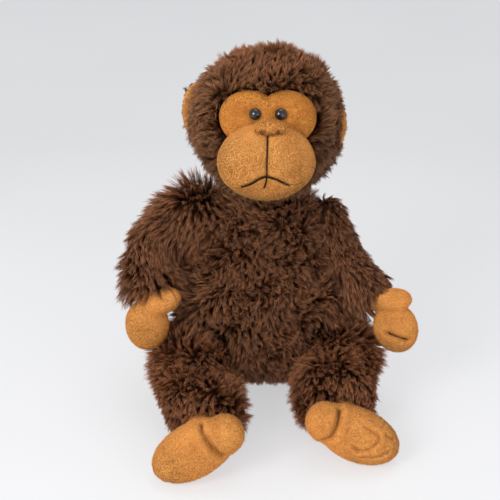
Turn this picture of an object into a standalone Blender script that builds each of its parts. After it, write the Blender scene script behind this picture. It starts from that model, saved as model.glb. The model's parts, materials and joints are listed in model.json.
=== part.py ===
"""A seated stuffed monkey, built from its sewn panels, its fillings, its eyes and its threads.

Z is up, the monkey faces -Y and sits on the floor at Z = 0, with the origin under the middle
of its seat. Left and right are the monkey's own. Sizes are in millimetres, times MM.
Every fur panel's outer surface is the dense inner part of its pile.
"""
import math

import bmesh
import bpy
from mathutils import Matrix, Vector

MM = 0.001

# ---- cloth and clearances ----
FUR_WALL = 2.6
MINKY_WALL = 1.6
STUFFING_GAP = 1.0
SOCKET_GAP = 1.2
WAD_GAP = 2.2
EAR_GAP = 1.4
HIP_ROOM_SWING = (-42, 62)
HIP_SIDE_ROOM = 1.0

# ---- torso: (height, half width, half depth, middle's Y) from the seat to the neck ----
TORSO_RINGS = [
    (0.0, 30.0, 20.5, 13.5),
    (3.0, 38.0, 27.0, 12.5),
    (12.0, 47.5, 35.5, 9.0),
    (28.0, 56.0, 43.5, 4.0),
    (50.0, 61.0, 51.0, -2.0),
    (75.0, 62.0, 52.5, -3.0),
    (97.0, 56.0, 49.5, -3.0),
    (115.0, 47.5, 44.0, -2.5),
    (131.0, 40.0, 38.5, -2.0),
    (146.0, 36.0, 33.0, -2.0),
    (158.0, 30.5, 28.5, -2.5),
    (166.0, 24.0, 23.0, -3.0),
    (171.5, 15.5, 15.5, -3.0),
]
TORSO_TOP = (0.0, -3.0, 174.0)
TORSO_MIDDLE = (0.0, -1.0, 86.0)
PELLET_BAG_TOP = 27.0
CLOSING_SEAM_FROM, CLOSING_SEAM_TO = 56.0, 112.0

# ---- neck and head ----
NECK_PIVOT = (0.0, -3.0, 177.0)
NECK_BALL = 13.0
HEAD_MIDDLE = (0.0, -4.0, 228.0)
HEAD_RADII = (54.0, 50.0, 52.0)
HEAD_TILT = math.radians(-12)

# ---- face, in the head's own frame: X to the monkey's left, -Y out of the face, Z up ----
BROW_LOBE_X, BROW_LOBE_Z = 13.0, 10.0
BROW_LOBE_RADII = (24.0, 20.0)
FACE_PROUD, FACE_DEEP = 1.2, 1.5
MUZZLE_MIDDLE = (0.0, -50.0, -20.0)
MUZZLE_RADII = (34.5, 30.0, 28.0)
NOSE_MIDDLE = (1.4, -64.5, 6.6)
NOSE_RADII = (10.6, 5.6, 5.0)
EYE_X, EYE_Z = 8.9, 13.6
EYE_RADIUS = 4.1
EYE_SHANK_RADIUS, EYE_SHANK_LENGTH = 1.5, 9.0
WASHER_RADIUS, WASHER_THICK = 5.0, 1.1
EAR_X, EAR_Y, EAR_Z = 51.5, 3.0, 1.0
EAR_RADII = (13.0, 20.0)
EAR_LAYER = 2.2
EAR_HINGE_X = 55.0
THREAD_RADIUS = 0.5
# The lines sewn on the muzzle, as (x, z) in the head's frame.
MUZZLE_SEAM = [(-0.4, 1.0), (-0.8, -7), (-1.1, -16), (-1.2, -23.6)]
MOUTH = [(-19, -34.6), (-12.2, -31), (-6.5, -27), (-1.2, -25.8), (5.2, -27.2), (11, -30.5), (14.8, -33.2)]
LIP_TICK = [(-1.2, -27.4), (-2.0, -30.6), (-3.2, -34.0)]

# ---- limbs ----
ARM_RADIUS = {"left": 12.0, "right": 17.5}
ARM_END_RADIUS = {"left": 13.5, "right": 13.5}
LEG_RADIUS = 27.0
LEG_END_RADIUS = 25.5
WRIST_BALL = 10.5
ANKLE_BALL = 12.0

LEFT_ARM = [(48, 0, 147), (53.3, -5, 134.5), (60, -13.5, 120.5), (71, -26, 107), (82, -33, 99)]
RIGHT_ARM = [(-48, 0, 147), (-69, -2, 145), (-85.5, -9, 129), (-92, -21, 110), (-92, -31, 101)]
LEFT_WRIST = (87.5, -38, 94)
RIGHT_WRIST = (-92, -37, 94)
LEFT_LEG = [(52, -20, 28), (54.5, -42, 28.5), (55, -63, 28.5), (56, -82, 28)]
RIGHT_LEG = [(-52, -20, 28), (-56, -45, 28.5), (-53, -74, 28.5), (-49.5, -100, 28)]
LEFT_ANKLE = (58.5, -100.5, 27.5)
RIGHT_ANKLE = (-49.5, -119, 28.5)

# ---- hands and feet: an oval pad, a thumb lobe and the ball at the wrist or ankle ----
HAND_PAD_RADII = (22.5, 11.0, 17.0)
THUMB_RADII = (15.0, 9.0, 9.5)
FOOT_PAD_RADII = (33.0, 12.0, 19.5)
TOE_LOBE_RADII = (14.0, 11.5, 14.0)
# How each finger line slants along its pad, and how far down the pad its middle is.
FINGER_LINE = {"left": (0.98, 3.0), "right": (-0.12, -1.0)}
LEFT_HAND_MIDDLE, LEFT_HAND_TURN = (101.3, -46, 71.5), -72.0
LEFT_THUMB_MIDDLE, LEFT_THUMB_TURN = (98, -45, 95.5), 6.0
RIGHT_HAND_MIDDLE, RIGHT_HAND_TURN = (-93.3, -46, 74.3), -92.0
RIGHT_THUMB_MIDDLE, RIGHT_THUMB_TURN = (-80, -46, 95.3), 28.0
LEFT_FOOT_MIDDLE, LEFT_FOOT_TURN = (67.2, -117.8, 24.0), -24.0
RIGHT_FOOT_MIDDLE, RIGHT_FOOT_TURN = (-54.4, -137.2, 23.8), 210.0
FOOT_LEAN = math.radians(15)
TOE_LOBE_BACK = 26.0

FUR = ("fur", (0.070, 0.026, 0.012, 1.0), 0.95)
MINKY = ("minky", (0.60, 0.26, 0.075, 1.0), 0.9)
STUFFING = ("stuffing", (0.86, 0.86, 0.84, 1.0), 1.0)
PELLETS = ("pellet_bag", (0.80, 0.78, 0.72, 1.0), 0.8)
EYE_PLASTIC = ("eye_plastic", (0.012, 0.011, 0.012, 1.0), 0.12)
WASHER_PLASTIC = ("washer_plastic", (0.75, 0.75, 0.72, 1.0), 0.5)
DARK_THREAD = ("dark_thread", (0.030, 0.018, 0.012, 1.0), 0.7)


# ---------------------------------------------------------------- helpers
def clear_scene():
    for item in list(bpy.data.objects):
        bpy.data.objects.remove(item, do_unlink=True)


def material(kind):
    name, colour, rough = kind
    made = bpy.data.materials.get(name)
    if made is None:
        made = bpy.data.materials.new(name)
        made.use_nodes = True
        shader = made.node_tree.nodes["Principled BSDF"]
        shader.inputs["Base Color"].default_value = colour
        shader.inputs["Roughness"].default_value = rough
        shader.inputs["Metallic"].default_value = 0.0
        made.diffuse_color = colour
    return made


def pivot(name, where, parent=None, tilt=0.0):
    """An empty at a joint, given in world millimetres. Everything that turns there hangs on it."""
    empty = bpy.data.objects.new(name, None)
    bpy.context.scene.collection.objects.link(empty)
    empty.empty_display_size = 8 * MM
    world = Matrix.Translation(Vector(where) * MM) @ Matrix.Rotation(tilt, 4, "X")
    if parent is not None:
        empty.parent = parent
        empty.matrix_basis = parent_inverse(parent) @ world
    else:
        empty.matrix_basis = world
    return empty


def world_of(item):
    """The item's world matrix, worked out from its parents, because nothing is evaluated yet."""
    made = item.matrix_basis.copy()
    while item.parent is not None:
        item = item.parent
        made = item.matrix_basis @ made
    return made


def parent_inverse(parent):
    return world_of(parent).inverted()


def add_object(name, data, kind, parent, frame=None):
    """Links a mesh or curve whose points are in `frame` (world if None), keeping its origin on
    the parent, which is the axis it turns about."""
    item = bpy.data.objects.new(name, data)
    bpy.context.scene.collection.objects.link(item)
    to_world = world_of(frame) if frame is not None else Matrix.Identity(4)
    if parent is not None:
        item.parent = parent
        data.transform(parent_inverse(parent) @ to_world)
    else:
        data.transform(to_world)
    if kind is not None:
        data.materials.append(material(kind))
    return item


def mesh_from(bm, name):
    bmesh.ops.recalc_face_normals(bm, faces=bm.faces)
    if bm.calc_volume(signed=True) < 0:
        bmesh.ops.reverse_faces(bm, faces=bm.faces)
    data = bpy.data.meshes.new(name)
    bm.to_mesh(data)
    bm.free()
    data.polygons.foreach_set("use_smooth", [True] * len(data.polygons))
    return data


def as_cutter(item):
    item.hide_render = True
    item.display_type = "WIRE"
    return item


def boolean(target, other, operation="DIFFERENCE"):
    step = target.modifiers.new(other.name, "BOOLEAN")
    step.operation = operation
    step.solver = "EXACT"
    step.object = other
    return step


def ellipsoid_mesh(name, middle, radii, turn=None, segments=20, rings=12):
    bm = bmesh.new()
    bmesh.ops.create_uvsphere(bm, u_segments=segments, v_segments=rings, radius=1.0)
    shape = Matrix.Diagonal((*[r * MM for r in radii], 1.0))
    place = Matrix.Translation(Vector(middle) * MM)
    bmesh.ops.transform(bm, matrix=place @ (turn or Matrix.Identity(4)) @ shape, verts=bm.verts)
    return mesh_from(bm, name)


def smaller(radii, by):
    return tuple(r - by for r in radii)


def ellipsoid(name, middle, radii, kind=None, parent=None, frame=None, **more):
    item = add_object(name, ellipsoid_mesh(name, middle, radii, **more), kind, parent, frame)
    return item if kind is not None else as_cutter(item)


def close_loops(bm, loops, first_pole, last_pole):
    """Skins rows of points into one closed surface, each end drawn to a pole."""
    rows = [[bm.verts.new(p) for p in loop] for loop in loops]
    count = len(rows[0])
    for low, high in zip(rows, rows[1:]):
        for i in range(count):
            j = (i + 1) % count
            bm.faces.new((low[i], low[j], high[j], high[i]))
    for row, pole in ((rows[0], first_pole), (rows[-1], last_pole)):
        if pole is None:
            bm.faces.new(row)
            continue
        tip = bm.verts.new(pole)
        for i in range(count):
            bm.faces.new((row[i], row[(i + 1) % count], tip))


def torso_mesh(name, inset=0.0, sides=20):
    bm = bmesh.new()
    loops = []
    for height, width, depth, middle in TORSO_RINGS:
        loop = []
        for i in range(sides):
            a = 2 * math.pi * i / sides
            loop.append(Vector((width * math.cos(a), middle + depth * math.sin(a), height)))
        loops.append(loop)
    centre = Vector(TORSO_MIDDLE)
    shrink = Vector((1 - inset / 57.5, 1 - inset / 52.5, 1 - inset / 86.5))

    def moved(p):
        q = p - centre
        return (centre + Vector((q.x * shrink.x, q.y * shrink.y, q.z * shrink.z))) * MM

    close_loops(bm, [[moved(p) for p in loop] for loop in loops], None, moved(Vector(TORSO_TOP)))
    return mesh_from(bm, name)


def smooth_path(points, per_span):
    """Catmull-Rom through the points."""
    pts = [Vector(p) for p in points]
    ends = [pts[0] * 2 - pts[1], *pts, pts[-1] * 2 - pts[-2]]
    made = []
    for i in range(1, len(ends) - 2):
        a, b, c, d = ends[i - 1 : i + 3]
        for k in range(per_span):
            t = k / per_span
            made.append(
                0.5 * (2 * b + (c - a) * t + (2 * a - 5 * b + 4 * c - d) * t * t
                       + (3 * b - a - 3 * c + d) * t ** 3)
            )
    made.append(pts[-1])
    return made


def limb_mesh(name, points, radius, end_radius, inset, end_dome, start_dome=None, sides=12):
    """A stuffed tube along a path: a half ball about its first point and a dome at its end."""
    path = smooth_path(points, 1)
    count = len(path)
    dome_angles = (30, 60)
    first_dome = (radius if start_dome is None else start_dome) - inset
    last_dome = end_dome - inset
    tangents = []
    for i in range(count):
        tangents.append((path[min(i + 1, count - 1)] - path[max(i - 1, 0)]).normalized())
    side = tangents[0].orthogonal().normalized()
    frames = []
    for tangent in tangents:
        side = (side - tangent * side.dot(tangent)).normalized()
        frames.append((side.copy(), tangent.cross(side)))

    def ring(centre, frame, r):
        made = []
        for i in range(sides):
            a = 2 * math.pi * i / sides
            made.append((centre + frame[0] * (r * math.cos(a)) + frame[1] * (r * math.sin(a))) * MM)
        return made

    loops = []
    start_r, stop_r = radius - inset, end_radius - inset
    for angle in dome_angles:
        a = math.radians(angle)
        centre = path[0] - tangents[0] * (first_dome * math.cos(a))
        loops.append(ring(centre, frames[0], start_r * math.sin(a)))
    for i, centre in enumerate(path):
        r = start_r + (stop_r - start_r) * (i / (count - 1)) ** 2
        loops.append(ring(centre, frames[i], r))
    for angle in reversed(dome_angles):
        a = math.radians(angle)
        centre = path[-1] + tangents[-1] * (last_dome * math.cos(a))
        loops.append(ring(centre, frames[-1], stop_r * math.sin(a)))
    bm = bmesh.new()
    close_loops(
        bm,
        loops,
        (path[0] - tangents[0] * first_dome) * MM,
        (path[-1] + tangents[-1] * last_dome) * MM,
    )
    return mesh_from(bm, name)


def rod_cutter(name, start, direction, length, radius, parent=None, frame=None, sides=16):
    """A cylinder cutter from `start` along `direction`."""
    bm = bmesh.new()
    bmesh.ops.create_cone(
        bm,
        cap_ends=True,
        segments=sides,
        radius1=radius * MM,
        radius2=radius * MM,
        depth=length * MM,
    )
    way = Vector(direction).normalized()
    turn = Vector((0, 0, 1)).rotation_difference(way).to_matrix().to_4x4()
    place = Matrix.Translation((Vector(start) + way * (length / 2)) * MM) @ turn
    bmesh.ops.transform(bm, matrix=place, verts=bm.verts)
    return as_cutter(add_object(name, mesh_from(bm, name), None, parent, frame))


def slab_cutter(name, low, high, frame=None):
    """A box cutter between two corners."""
    bm = bmesh.new()
    bmesh.ops.create_cube(bm, size=1.0)
    size = (Vector(high) - Vector(low)) * MM
    middle = (Vector(high) + Vector(low)) * 0.5 * MM
    place = Matrix.Translation(middle) @ Matrix.Diagonal((*size, 1.0))
    bmesh.ops.transform(bm, matrix=place, verts=bm.verts)
    return as_cutter(add_object(name, mesh_from(bm, name), None, None, frame))


def circle(radius, height, sides):
    """Points round a circle about Z."""
    made = []
    for i in range(sides):
        a = 2 * math.pi * i / sides
        made.append(Vector((radius * math.cos(a), radius * math.sin(a), height)) * MM)
    return made


def lathe(name, profile, kind, parent, frame, place, sides=14):
    """Turns (radius, height) pairs about Z, then places the result. A zero radius is a pole."""
    bm = bmesh.new()
    rows = [circle(r, h, sides) for r, h in profile]
    first = rows.pop(0)[0] if profile[0][0] == 0 else None
    last = rows.pop()[0] if profile[-1][0] == 0 else None
    close_loops(bm, rows, first, last)
    bmesh.ops.transform(bm, matrix=place, verts=bm.verts)
    return add_object(name, mesh_from(bm, name), kind, parent, frame)


def thread(name, points, parent, frame=None, radius=THREAD_RADIUS, kind=DARK_THREAD):
    """A sewn thread as a rounded curve through the points."""
    data = bpy.data.curves.new(name, "CURVE")
    data.dimensions = "3D"
    data.bevel_depth = radius * MM
    data.bevel_resolution = 0
    data.use_fill_caps = True
    data.resolution_u = 2
    line = data.splines.new("BEZIER")
    line.bezier_points.add(len(points) - 1)
    for spot, p in zip(line.bezier_points, points):
        spot.co = Vector(p) * MM
        spot.handle_left_type = spot.handle_right_type = "AUTO"
    return add_object(name, data, kind, parent, frame)


# ---------------------------------------------------------------- torso
def on_torso_back(height, out):
    """A point on the middle of the back, `out` beyond the fur."""
    for low, high in zip(TORSO_RINGS, TORSO_RINGS[1:]):
        if low[0] <= height <= high[0]:
            t = (height - low[0]) / (high[0] - low[0])
            back_low, back_high = low[2] + low[3], high[2] + high[3]
            return (0.0, back_low + t * (back_high - back_low) + out, height)
    return (0.0, 0.0, height)


def hip_room(side, hip):
    """Cutters for the room a leg takes up as it swings: the ball at its root, the tube at both
    ends of the swing, and the flat sector between them."""
    radius = LEG_RADIUS + SOCKET_GAP
    made = [ellipsoid(f"{side}_hip_ball_room", hip, (radius,) * 3, segments=20, rings=12)]
    rim = []
    for swing in HIP_ROOM_SWING:
        a = math.radians(swing)
        way = Vector((0, -math.cos(a), -math.sin(a)))
        made.append(rod_cutter(f"{side}_hip_room_{swing}", hip, way, 90, radius, sides=20))
    steps = 5
    first, last = HIP_ROOM_SWING
    for i in range(steps + 1):
        a = math.radians(first + (last - first) * i / steps)
        rim.append((-90 * math.cos(a), -90 * math.sin(a)))
    bm = bmesh.new()
    half = radius + HIP_SIDE_ROOM
    layers = []
    for x in (hip[0] - half, hip[0] + half):
        layer = []
        for y, z in [(0, 0), *rim]:
            layer.append(bm.verts.new(Vector((x, hip[1] + y, hip[2] + z)) * MM))
        layers.append(layer)
    count = len(layers[0])
    bm.faces.new(layers[0])
    bm.faces.new(list(reversed(layers[1])))
    for i in range(count):
        j = (i + 1) % count
        bm.faces.new((layers[0][i], layers[0][j], layers[1][j], layers[1][i]))
    name = f"{side}_hip_sector_room"
    made.append(as_cutter(add_object(name, mesh_from(bm, name), None, None)))
    return made


def build_torso():
    root = pivot("seat_middle", (0, 0, 0))
    inner = FUR_WALL + STUFFING_GAP
    shell = add_object("torso_shell", torso_mesh("torso_shell"), FUR, root)
    hollow_mesh = torso_mesh("torso_hollow", FUR_WALL)
    hollow = as_cutter(add_object("torso_hollow", hollow_mesh, None, None))
    stuffing_mesh = torso_mesh("torso_filling", inner, 14)
    stuffing = add_object("torso_filling", stuffing_mesh, STUFFING, root)
    bag = add_object("seat_pellet_bag", torso_mesh("seat_pellet_bag", inner, 14), PELLETS, root)
    boolean(shell, hollow)

    neck_room = ellipsoid("neck_room", NECK_PIVOT, (NECK_BALL + 0.6,) * 3, segments=20, rings=12)
    for target in (shell, stuffing):
        boolean(target, neck_room)
    boolean(bag, slab_cutter("above_pellets", (-90, -90, PELLET_BAG_TOP), (90, 90, 220)))
    below = slab_cutter("below_stuffing", (-90, -90, -10), (90, 90, PELLET_BAG_TOP + 0.6))
    boolean(stuffing, below)
    for side, arm, leg in (("left", LEFT_ARM, LEFT_LEG), ("right", RIGHT_ARM, RIGHT_LEG)):
        room_radii = (ARM_RADIUS[side] + SOCKET_GAP,) * 3
        armhole = ellipsoid(f"{side}_armhole_room", arm[0], room_radii, segments=20, rings=12)
        for target in (shell, stuffing):
            boolean(target, armhole)
        for room in hip_room(side, leg[0]):
            for target in (shell, stuffing, bag):
                boolean(target, room)

    seam = []
    for i in range(5):
        height = CLOSING_SEAM_FROM + (CLOSING_SEAM_TO - CLOSING_SEAM_FROM) * i / 4
        seam.append(on_torso_back(height, THREAD_RADIUS + 0.4))
    thread("closing_seam_thread", seam, root)
    return root


# ---------------------------------------------------------------- head
def head_normal(x, z):
    """(point, outward direction) on the front of the head's oval at this x and z."""
    a, b, c = HEAD_RADII
    y = -b * math.sqrt(max(0.0, 1 - (x / a) ** 2 - (z / c) ** 2))
    return Vector((x, y, z)), Vector((x / a ** 2, y / b ** 2, z / c ** 2)).normalized()


def on_muzzle(x, z, out):
    """A point on the muzzle at this x and z, `out` beyond the cloth."""
    a, b, c = MUZZLE_RADII
    u, w = (x - MUZZLE_MIDDLE[0]) / a, (z - MUZZLE_MIDDLE[2]) / c
    v = -math.sqrt(max(0.0, 1 - u * u - w * w))
    spot = Vector((x, MUZZLE_MIDDLE[1] + b * v, z))
    return spot + Vector((u / a, v / b, w / c)).normalized() * out


def brow_prisms(name, extra, frame):
    """The two overlapping lobes of the brow panel as cutters that run out of the face."""
    made = []
    for sign, word in ((1, "left"), (-1, "right")):
        bm = bmesh.new()
        bmesh.ops.create_cone(bm, cap_ends=True, segments=28, radius1=1.0, radius2=1.0, depth=1.0)
        wide, high = (r + extra for r in BROW_LOBE_RADII)
        shape = Matrix.Diagonal((wide * MM, high * MM, 60 * MM, 1.0))
        stand = Matrix.Rotation(math.radians(90), 4, "X")
        place = Matrix.Translation(Vector((sign * BROW_LOBE_X, -45, BROW_LOBE_Z)) * MM)
        bmesh.ops.transform(bm, matrix=place @ stand @ shape, verts=bm.verts)
        cutter = add_object(f"{name}_{word}", mesh_from(bm, name), None, None, frame)
        made.append(as_cutter(cutter))
    return made


def build_head(neck):
    frame = pivot("head_frame", HEAD_MIDDLE, neck, HEAD_TILT)
    middle = (0, 0, 0)
    coarse = {"segments": 20, "rings": 12}
    fine = {"segments": 24, "rings": 14}

    def head_room(name, by, **detail):
        return ellipsoid(name, middle, smaller(HEAD_RADII, by), None, None, frame, **detail)

    shell = ellipsoid("head_shell", middle, HEAD_RADII, FUR, neck, frame, **coarse)
    inner = smaller(HEAD_RADII, FUR_WALL + STUFFING_GAP)
    stuffing = ellipsoid("head_filling", middle, inner, STUFFING, neck, frame, segments=16, rings=10)
    boolean(shell, head_room("head_hollow", FUR_WALL, **coarse))
    neck_room = ellipsoid("head_neck_room", NECK_PIVOT, (NECK_BALL + 0.6,) * 3, **coarse)
    boolean(shell, neck_room)
    boolean(stuffing, neck_room)

    window = brow_prisms("brow_window", 0.4, frame)
    for cutter in window:
        boolean(shell, cutter)
    panel = brow_prisms("brow_outline", 0.0, frame)
    face = add_object("face_panel", panel[0].data.copy(), MINKY, neck, None)
    boolean(face, panel[1], "UNION")
    boolean(face, head_room("face_outer", -FACE_PROUD, **fine), "INTERSECT")
    boolean(face, head_room("face_inner", FACE_DEEP, **fine))

    def muzzle_part(name, by, kind, parent, **detail):
        radii = smaller(MUZZLE_RADII, by)
        return ellipsoid(name, MUZZLE_MIDDLE, radii, kind, parent, frame, **detail)

    muzzle = muzzle_part("muzzle_shell", 0.0, MINKY, neck, segments=18, rings=11)
    boolean(muzzle, muzzle_part("muzzle_hollow", MINKY_WALL, None, None, segments=18, rings=11))
    boolean(muzzle, head_room("muzzle_back", -FACE_PROUD - 0.4, **fine))
    inner = MINKY_WALL + STUFFING_GAP
    inside = muzzle_part("muzzle_filling", inner, STUFFING, neck, segments=14, rings=9)
    boolean(inside, head_room("muzzle_filling_back", -FACE_PROUD - 0.8, **fine))

    nose = ellipsoid("nose_pad", NOSE_MIDDLE, NOSE_RADII, MINKY, neck, frame, segments=16, rings=9)
    boolean(nose, muzzle_part("nose_seat", -0.5, None, None, segments=32, rings=20))

    build_eyes(neck, frame, face, stuffing)
    build_face_threads(neck, frame)
    for side, sign in (("left", 1), ("right", -1)):
        build_ear(side, sign, neck, frame)
    return frame


def eye_profile():
    """A domed button and its shank, as (radius, height) from the top of the dome down."""
    r, rise = EYE_RADIUS, 0.72 * EYE_RADIUS
    rows = [(0.0, 0.8 + rise)]
    for angle in (24, 50, 76):
        a = math.radians(angle)
        rows.append((r * math.sin(a), 0.8 + rise * math.cos(a)))
    rows += [(r, 0.5), (r - 0.5, 0.0), (EYE_SHANK_RADIUS, 0.0)]
    rows += [(EYE_SHANK_RADIUS, -EYE_SHANK_LENGTH), (0.0, -EYE_SHANK_LENGTH)]
    return rows


def build_eyes(neck, frame, face, stuffing):
    for side, sign in (("left", 1), ("right", -1)):
        spot, out = head_normal(sign * EYE_X, EYE_Z)
        base = spot + out * (FACE_PROUD + 0.35)
        turn = Vector((0, 0, 1)).rotation_difference(out).to_matrix().to_4x4()
        place = Matrix.Translation(base * MM) @ turn
        lathe(f"{side}_eye", eye_profile(), EYE_PLASTIC, neck, frame, place)
        top = -(FACE_PROUD + FACE_DEEP + 0.35) - 1.3
        low = top - WASHER_THICK
        bore = EYE_SHANK_RADIUS + 0.25
        ring = [(bore, top), (WASHER_RADIUS, top), (WASHER_RADIUS, low), (bore, low)]
        washer_ring(f"{side}_eye_washer", ring, neck, frame, place)
        hole_name = f"{side}_eye_hole"
        hole_length, hole_radius = EYE_SHANK_LENGTH + 5.5, EYE_SHANK_RADIUS + 0.4
        hole = rod_cutter(hole_name, base + out * 4, -out, hole_length, hole_radius, None, frame)
        boolean(face, hole)
        boolean(stuffing, hole)
        pocket_name = f"{side}_washer_pocket"
        mouth = base + out * (top + 2.5)
        depth, wide = WASHER_THICK + 3.0, WASHER_RADIUS + 0.5
        boolean(stuffing, rod_cutter(pocket_name, mouth, -out, depth, wide, None, frame))


def washer_ring(name, section, parent, frame, place, sides=14):
    bm = bmesh.new()
    rows = []
    for r, h in section:
        rows.append([bm.verts.new(p) for p in circle(r, h, sides)])
    for low, high in zip(rows, rows[1:] + rows[:1]):
        for i in range(sides):
            j = (i + 1) % sides
            bm.faces.new((low[i], low[j], high[j], high[i]))
    bmesh.ops.transform(bm, matrix=place, verts=bm.verts)
    return add_object(name, mesh_from(bm, name), WASHER_PLASTIC, parent, frame)


def build_face_threads(neck, frame):
    out = THREAD_RADIUS + 0.35
    rows = (
        ("muzzle_seam_thread", MUZZLE_SEAM),
        ("mouth_thread", MOUTH),
        ("lip_thread", LIP_TICK),
    )
    for name, line in rows:
        thread(name, [on_muzzle(x, z, out) for x, z in line], neck, frame)


def build_ear(side, sign, neck, frame):
    """Two flat half-moons at the side of the head, minky in front and fur behind."""
    at = world_of(frame) @ (Vector((sign * EAR_HINGE_X, EAR_Y, EAR_Z)) * MM)
    hinge = pivot(f"{side}_ear_hinge", at / MM, neck, HEAD_TILT)
    room_radii = smaller(HEAD_RADII, -EAR_GAP)
    room_name = f"{side}_ear_room"
    clear = ellipsoid(room_name, (0, 0, 0), room_radii, None, None, frame, segments=24, rings=14)
    for word, kind, low in (("lining", MINKY, -EAR_LAYER - 0.15), ("back", FUR, 0.15)):
        bm = bmesh.new()
        bmesh.ops.create_uvsphere(bm, u_segments=16, v_segments=8, radius=1.0)
        name = f"{side}_ear_{word}"
        wide, tall = EAR_RADII
        shape = Matrix.Diagonal((wide * MM, tall * MM, EAR_LAYER * 1.25 * MM, 1.0))
        stand = Matrix.Rotation(math.radians(90), 4, "X")
        place = Matrix.Translation(Vector((sign * EAR_X, EAR_Y + low + EAR_LAYER / 2, EAR_Z)) * MM)
        bmesh.ops.transform(bm, matrix=place @ stand @ shape, verts=bm.verts)
        half = add_object(name, mesh_from(bm, name), kind, hinge, frame)
        # Each layer is cut flat where it faces the other one, 0.15 either side of the middle.
        far = 30
        start = EAR_Y - 0.15 if low < 0 else EAR_Y + 0.15 - far
        corner = (sign * EAR_X - far, start, EAR_Z - far)
        opposite = (sign * EAR_X + far, start + far, EAR_Z + far)
        boolean(half, slab_cutter(f"{name}_trim", corner, opposite, frame))
        boolean(half, clear)


# ---------------------------------------------------------------- limbs
def build_limb(side, word, wad, root, points, shape, joint, ball, open_to):
    """The fur tube, the wad in its root and the stuffing along it. `shape` is its radius at the
    root, its radius at the end and the length of the dome there. Returns the tube's pivot."""
    radius, end_radius, end_dome = shape
    start = points[0]
    inner = FUR_WALL + STUFFING_GAP
    at_root = pivot(f"{side}_{wad}_pivot", start, root)
    wad_radii = (radius - FUR_WALL - WAD_GAP,) * 3
    ellipsoid(f"{side}_{wad}_filling", start, wad_radii, STUFFING, at_root, segments=14, rings=8)

    name = f"{side}_{word}_shell"
    outer = limb_mesh(name, points, radius, end_radius, 0.0, end_dome)
    tube = add_object(name, outer, FUR, at_root)
    name = f"{side}_{word}_hollow"
    hollow = limb_mesh(name, points, radius, end_radius, FUR_WALL, end_dome)
    boolean(tube, as_cutter(add_object(name, hollow, None, None)))
    boolean(tube, rod_cutter(f"{side}_{word}_mouth", start, open_to, radius + 4, radius * 0.55))

    name = f"{side}_{word}_filling"
    fill_points = [Vector(start).lerp(Vector(points[1]), 0.6), *[Vector(p) for p in points[1:]]]
    sizes = (radius - 0.2, end_radius, inner, end_dome, inner + 2)
    core = add_object(name, limb_mesh(name, fill_points, *sizes, sides=10), STUFFING, at_root)
    wad_room = (radius - FUR_WALL + 0.1,) * 3
    boolean(core, ellipsoid(f"{side}_{wad}_wad_room", start, wad_room, segments=16, rings=10))
    socket_name = f"{side}_{word}_end_room"
    socket = ellipsoid(socket_name, joint, (ball + 0.8,) * 3, segments=16, rings=10)
    boolean(tube, socket)
    boolean(core, socket)
    return at_root


def build_paw(side, word, joint_name, at_root, joint, ball, back, pad, lobe):
    """A minky hand or foot: pad, lobe and ball sewn into one hollow skin, with its stuffing.
    `pad` and `lobe` are each a middle, radii and a turn."""
    at_joint = pivot(f"{side}_{joint_name}_pivot", joint, at_root)
    round_end = (joint, (ball,) * 3, None)
    for name, inset, kind, seg in (
        (f"{side}_{word}_shell", 0.0, MINKY, 14),
        (f"{side}_{word}_filling", MINKY_WALL + STUFFING_GAP, STUFFING, 10),
    ):
        fine = {"segments": seg, "rings": seg // 2 + 1}
        coarse = {"segments": seg - 2, "rings": seg // 2}
        middle, radii, turn = pad
        body = ellipsoid(name, middle, smaller(radii, inset), kind, at_joint, turn=turn, **fine)
        for label, (middle, radii, turn) in (("lobe", lobe), ("ball", round_end)):
            label_name = f"{name}_{label}"
            radii = smaller(radii, inset)
            more = ellipsoid(label_name, middle, radii, None, None, turn=turn, **coarse)
            boolean(body, more, "UNION")
        if inset:
            continue
        rooms = (("pad", pad, fine), ("lobe", lobe, coarse), ("ball", round_end, coarse))
        for label, (middle, radii, turn), detail in rooms:
            room_name = f"{name}_{label}_hollow"
            radii = smaller(radii, MINKY_WALL)
            boolean(body, ellipsoid(room_name, middle, radii, None, None, turn=turn, **detail))
        boolean(body, rod_cutter(f"{name}_mouth", joint, back, ball + 5, ball * 0.55, sides=12))
    return at_joint


def in_face_plane(angle, lean=0.0):
    """Turns an oval that lies in XZ by `angle` degrees (from +X towards +Z) and leans its top back."""
    return Matrix.Rotation(lean, 4, "X") @ Matrix.Rotation(math.radians(-angle), 4, "Y")


def finger_stitch(side, hand, turned, parent):
    """The line sewn across the pad where the fingers start."""
    slope, along = FINGER_LINE[side]
    long, thick, high = HAND_PAD_RADII
    points = []
    for step in (-6.0, -2.0, 2.0, 6.0):
        x = slope * step + along
        depth = thick * math.sqrt(1 - (x / long) ** 2 - (step / high) ** 2)
        spot = Vector((x, -depth - THREAD_RADIUS - 0.4, step))
        points.append(Vector(hand) + turned.to_3x3() @ spot)
    thread(f"{side}_finger_stitch", points, parent)


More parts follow.
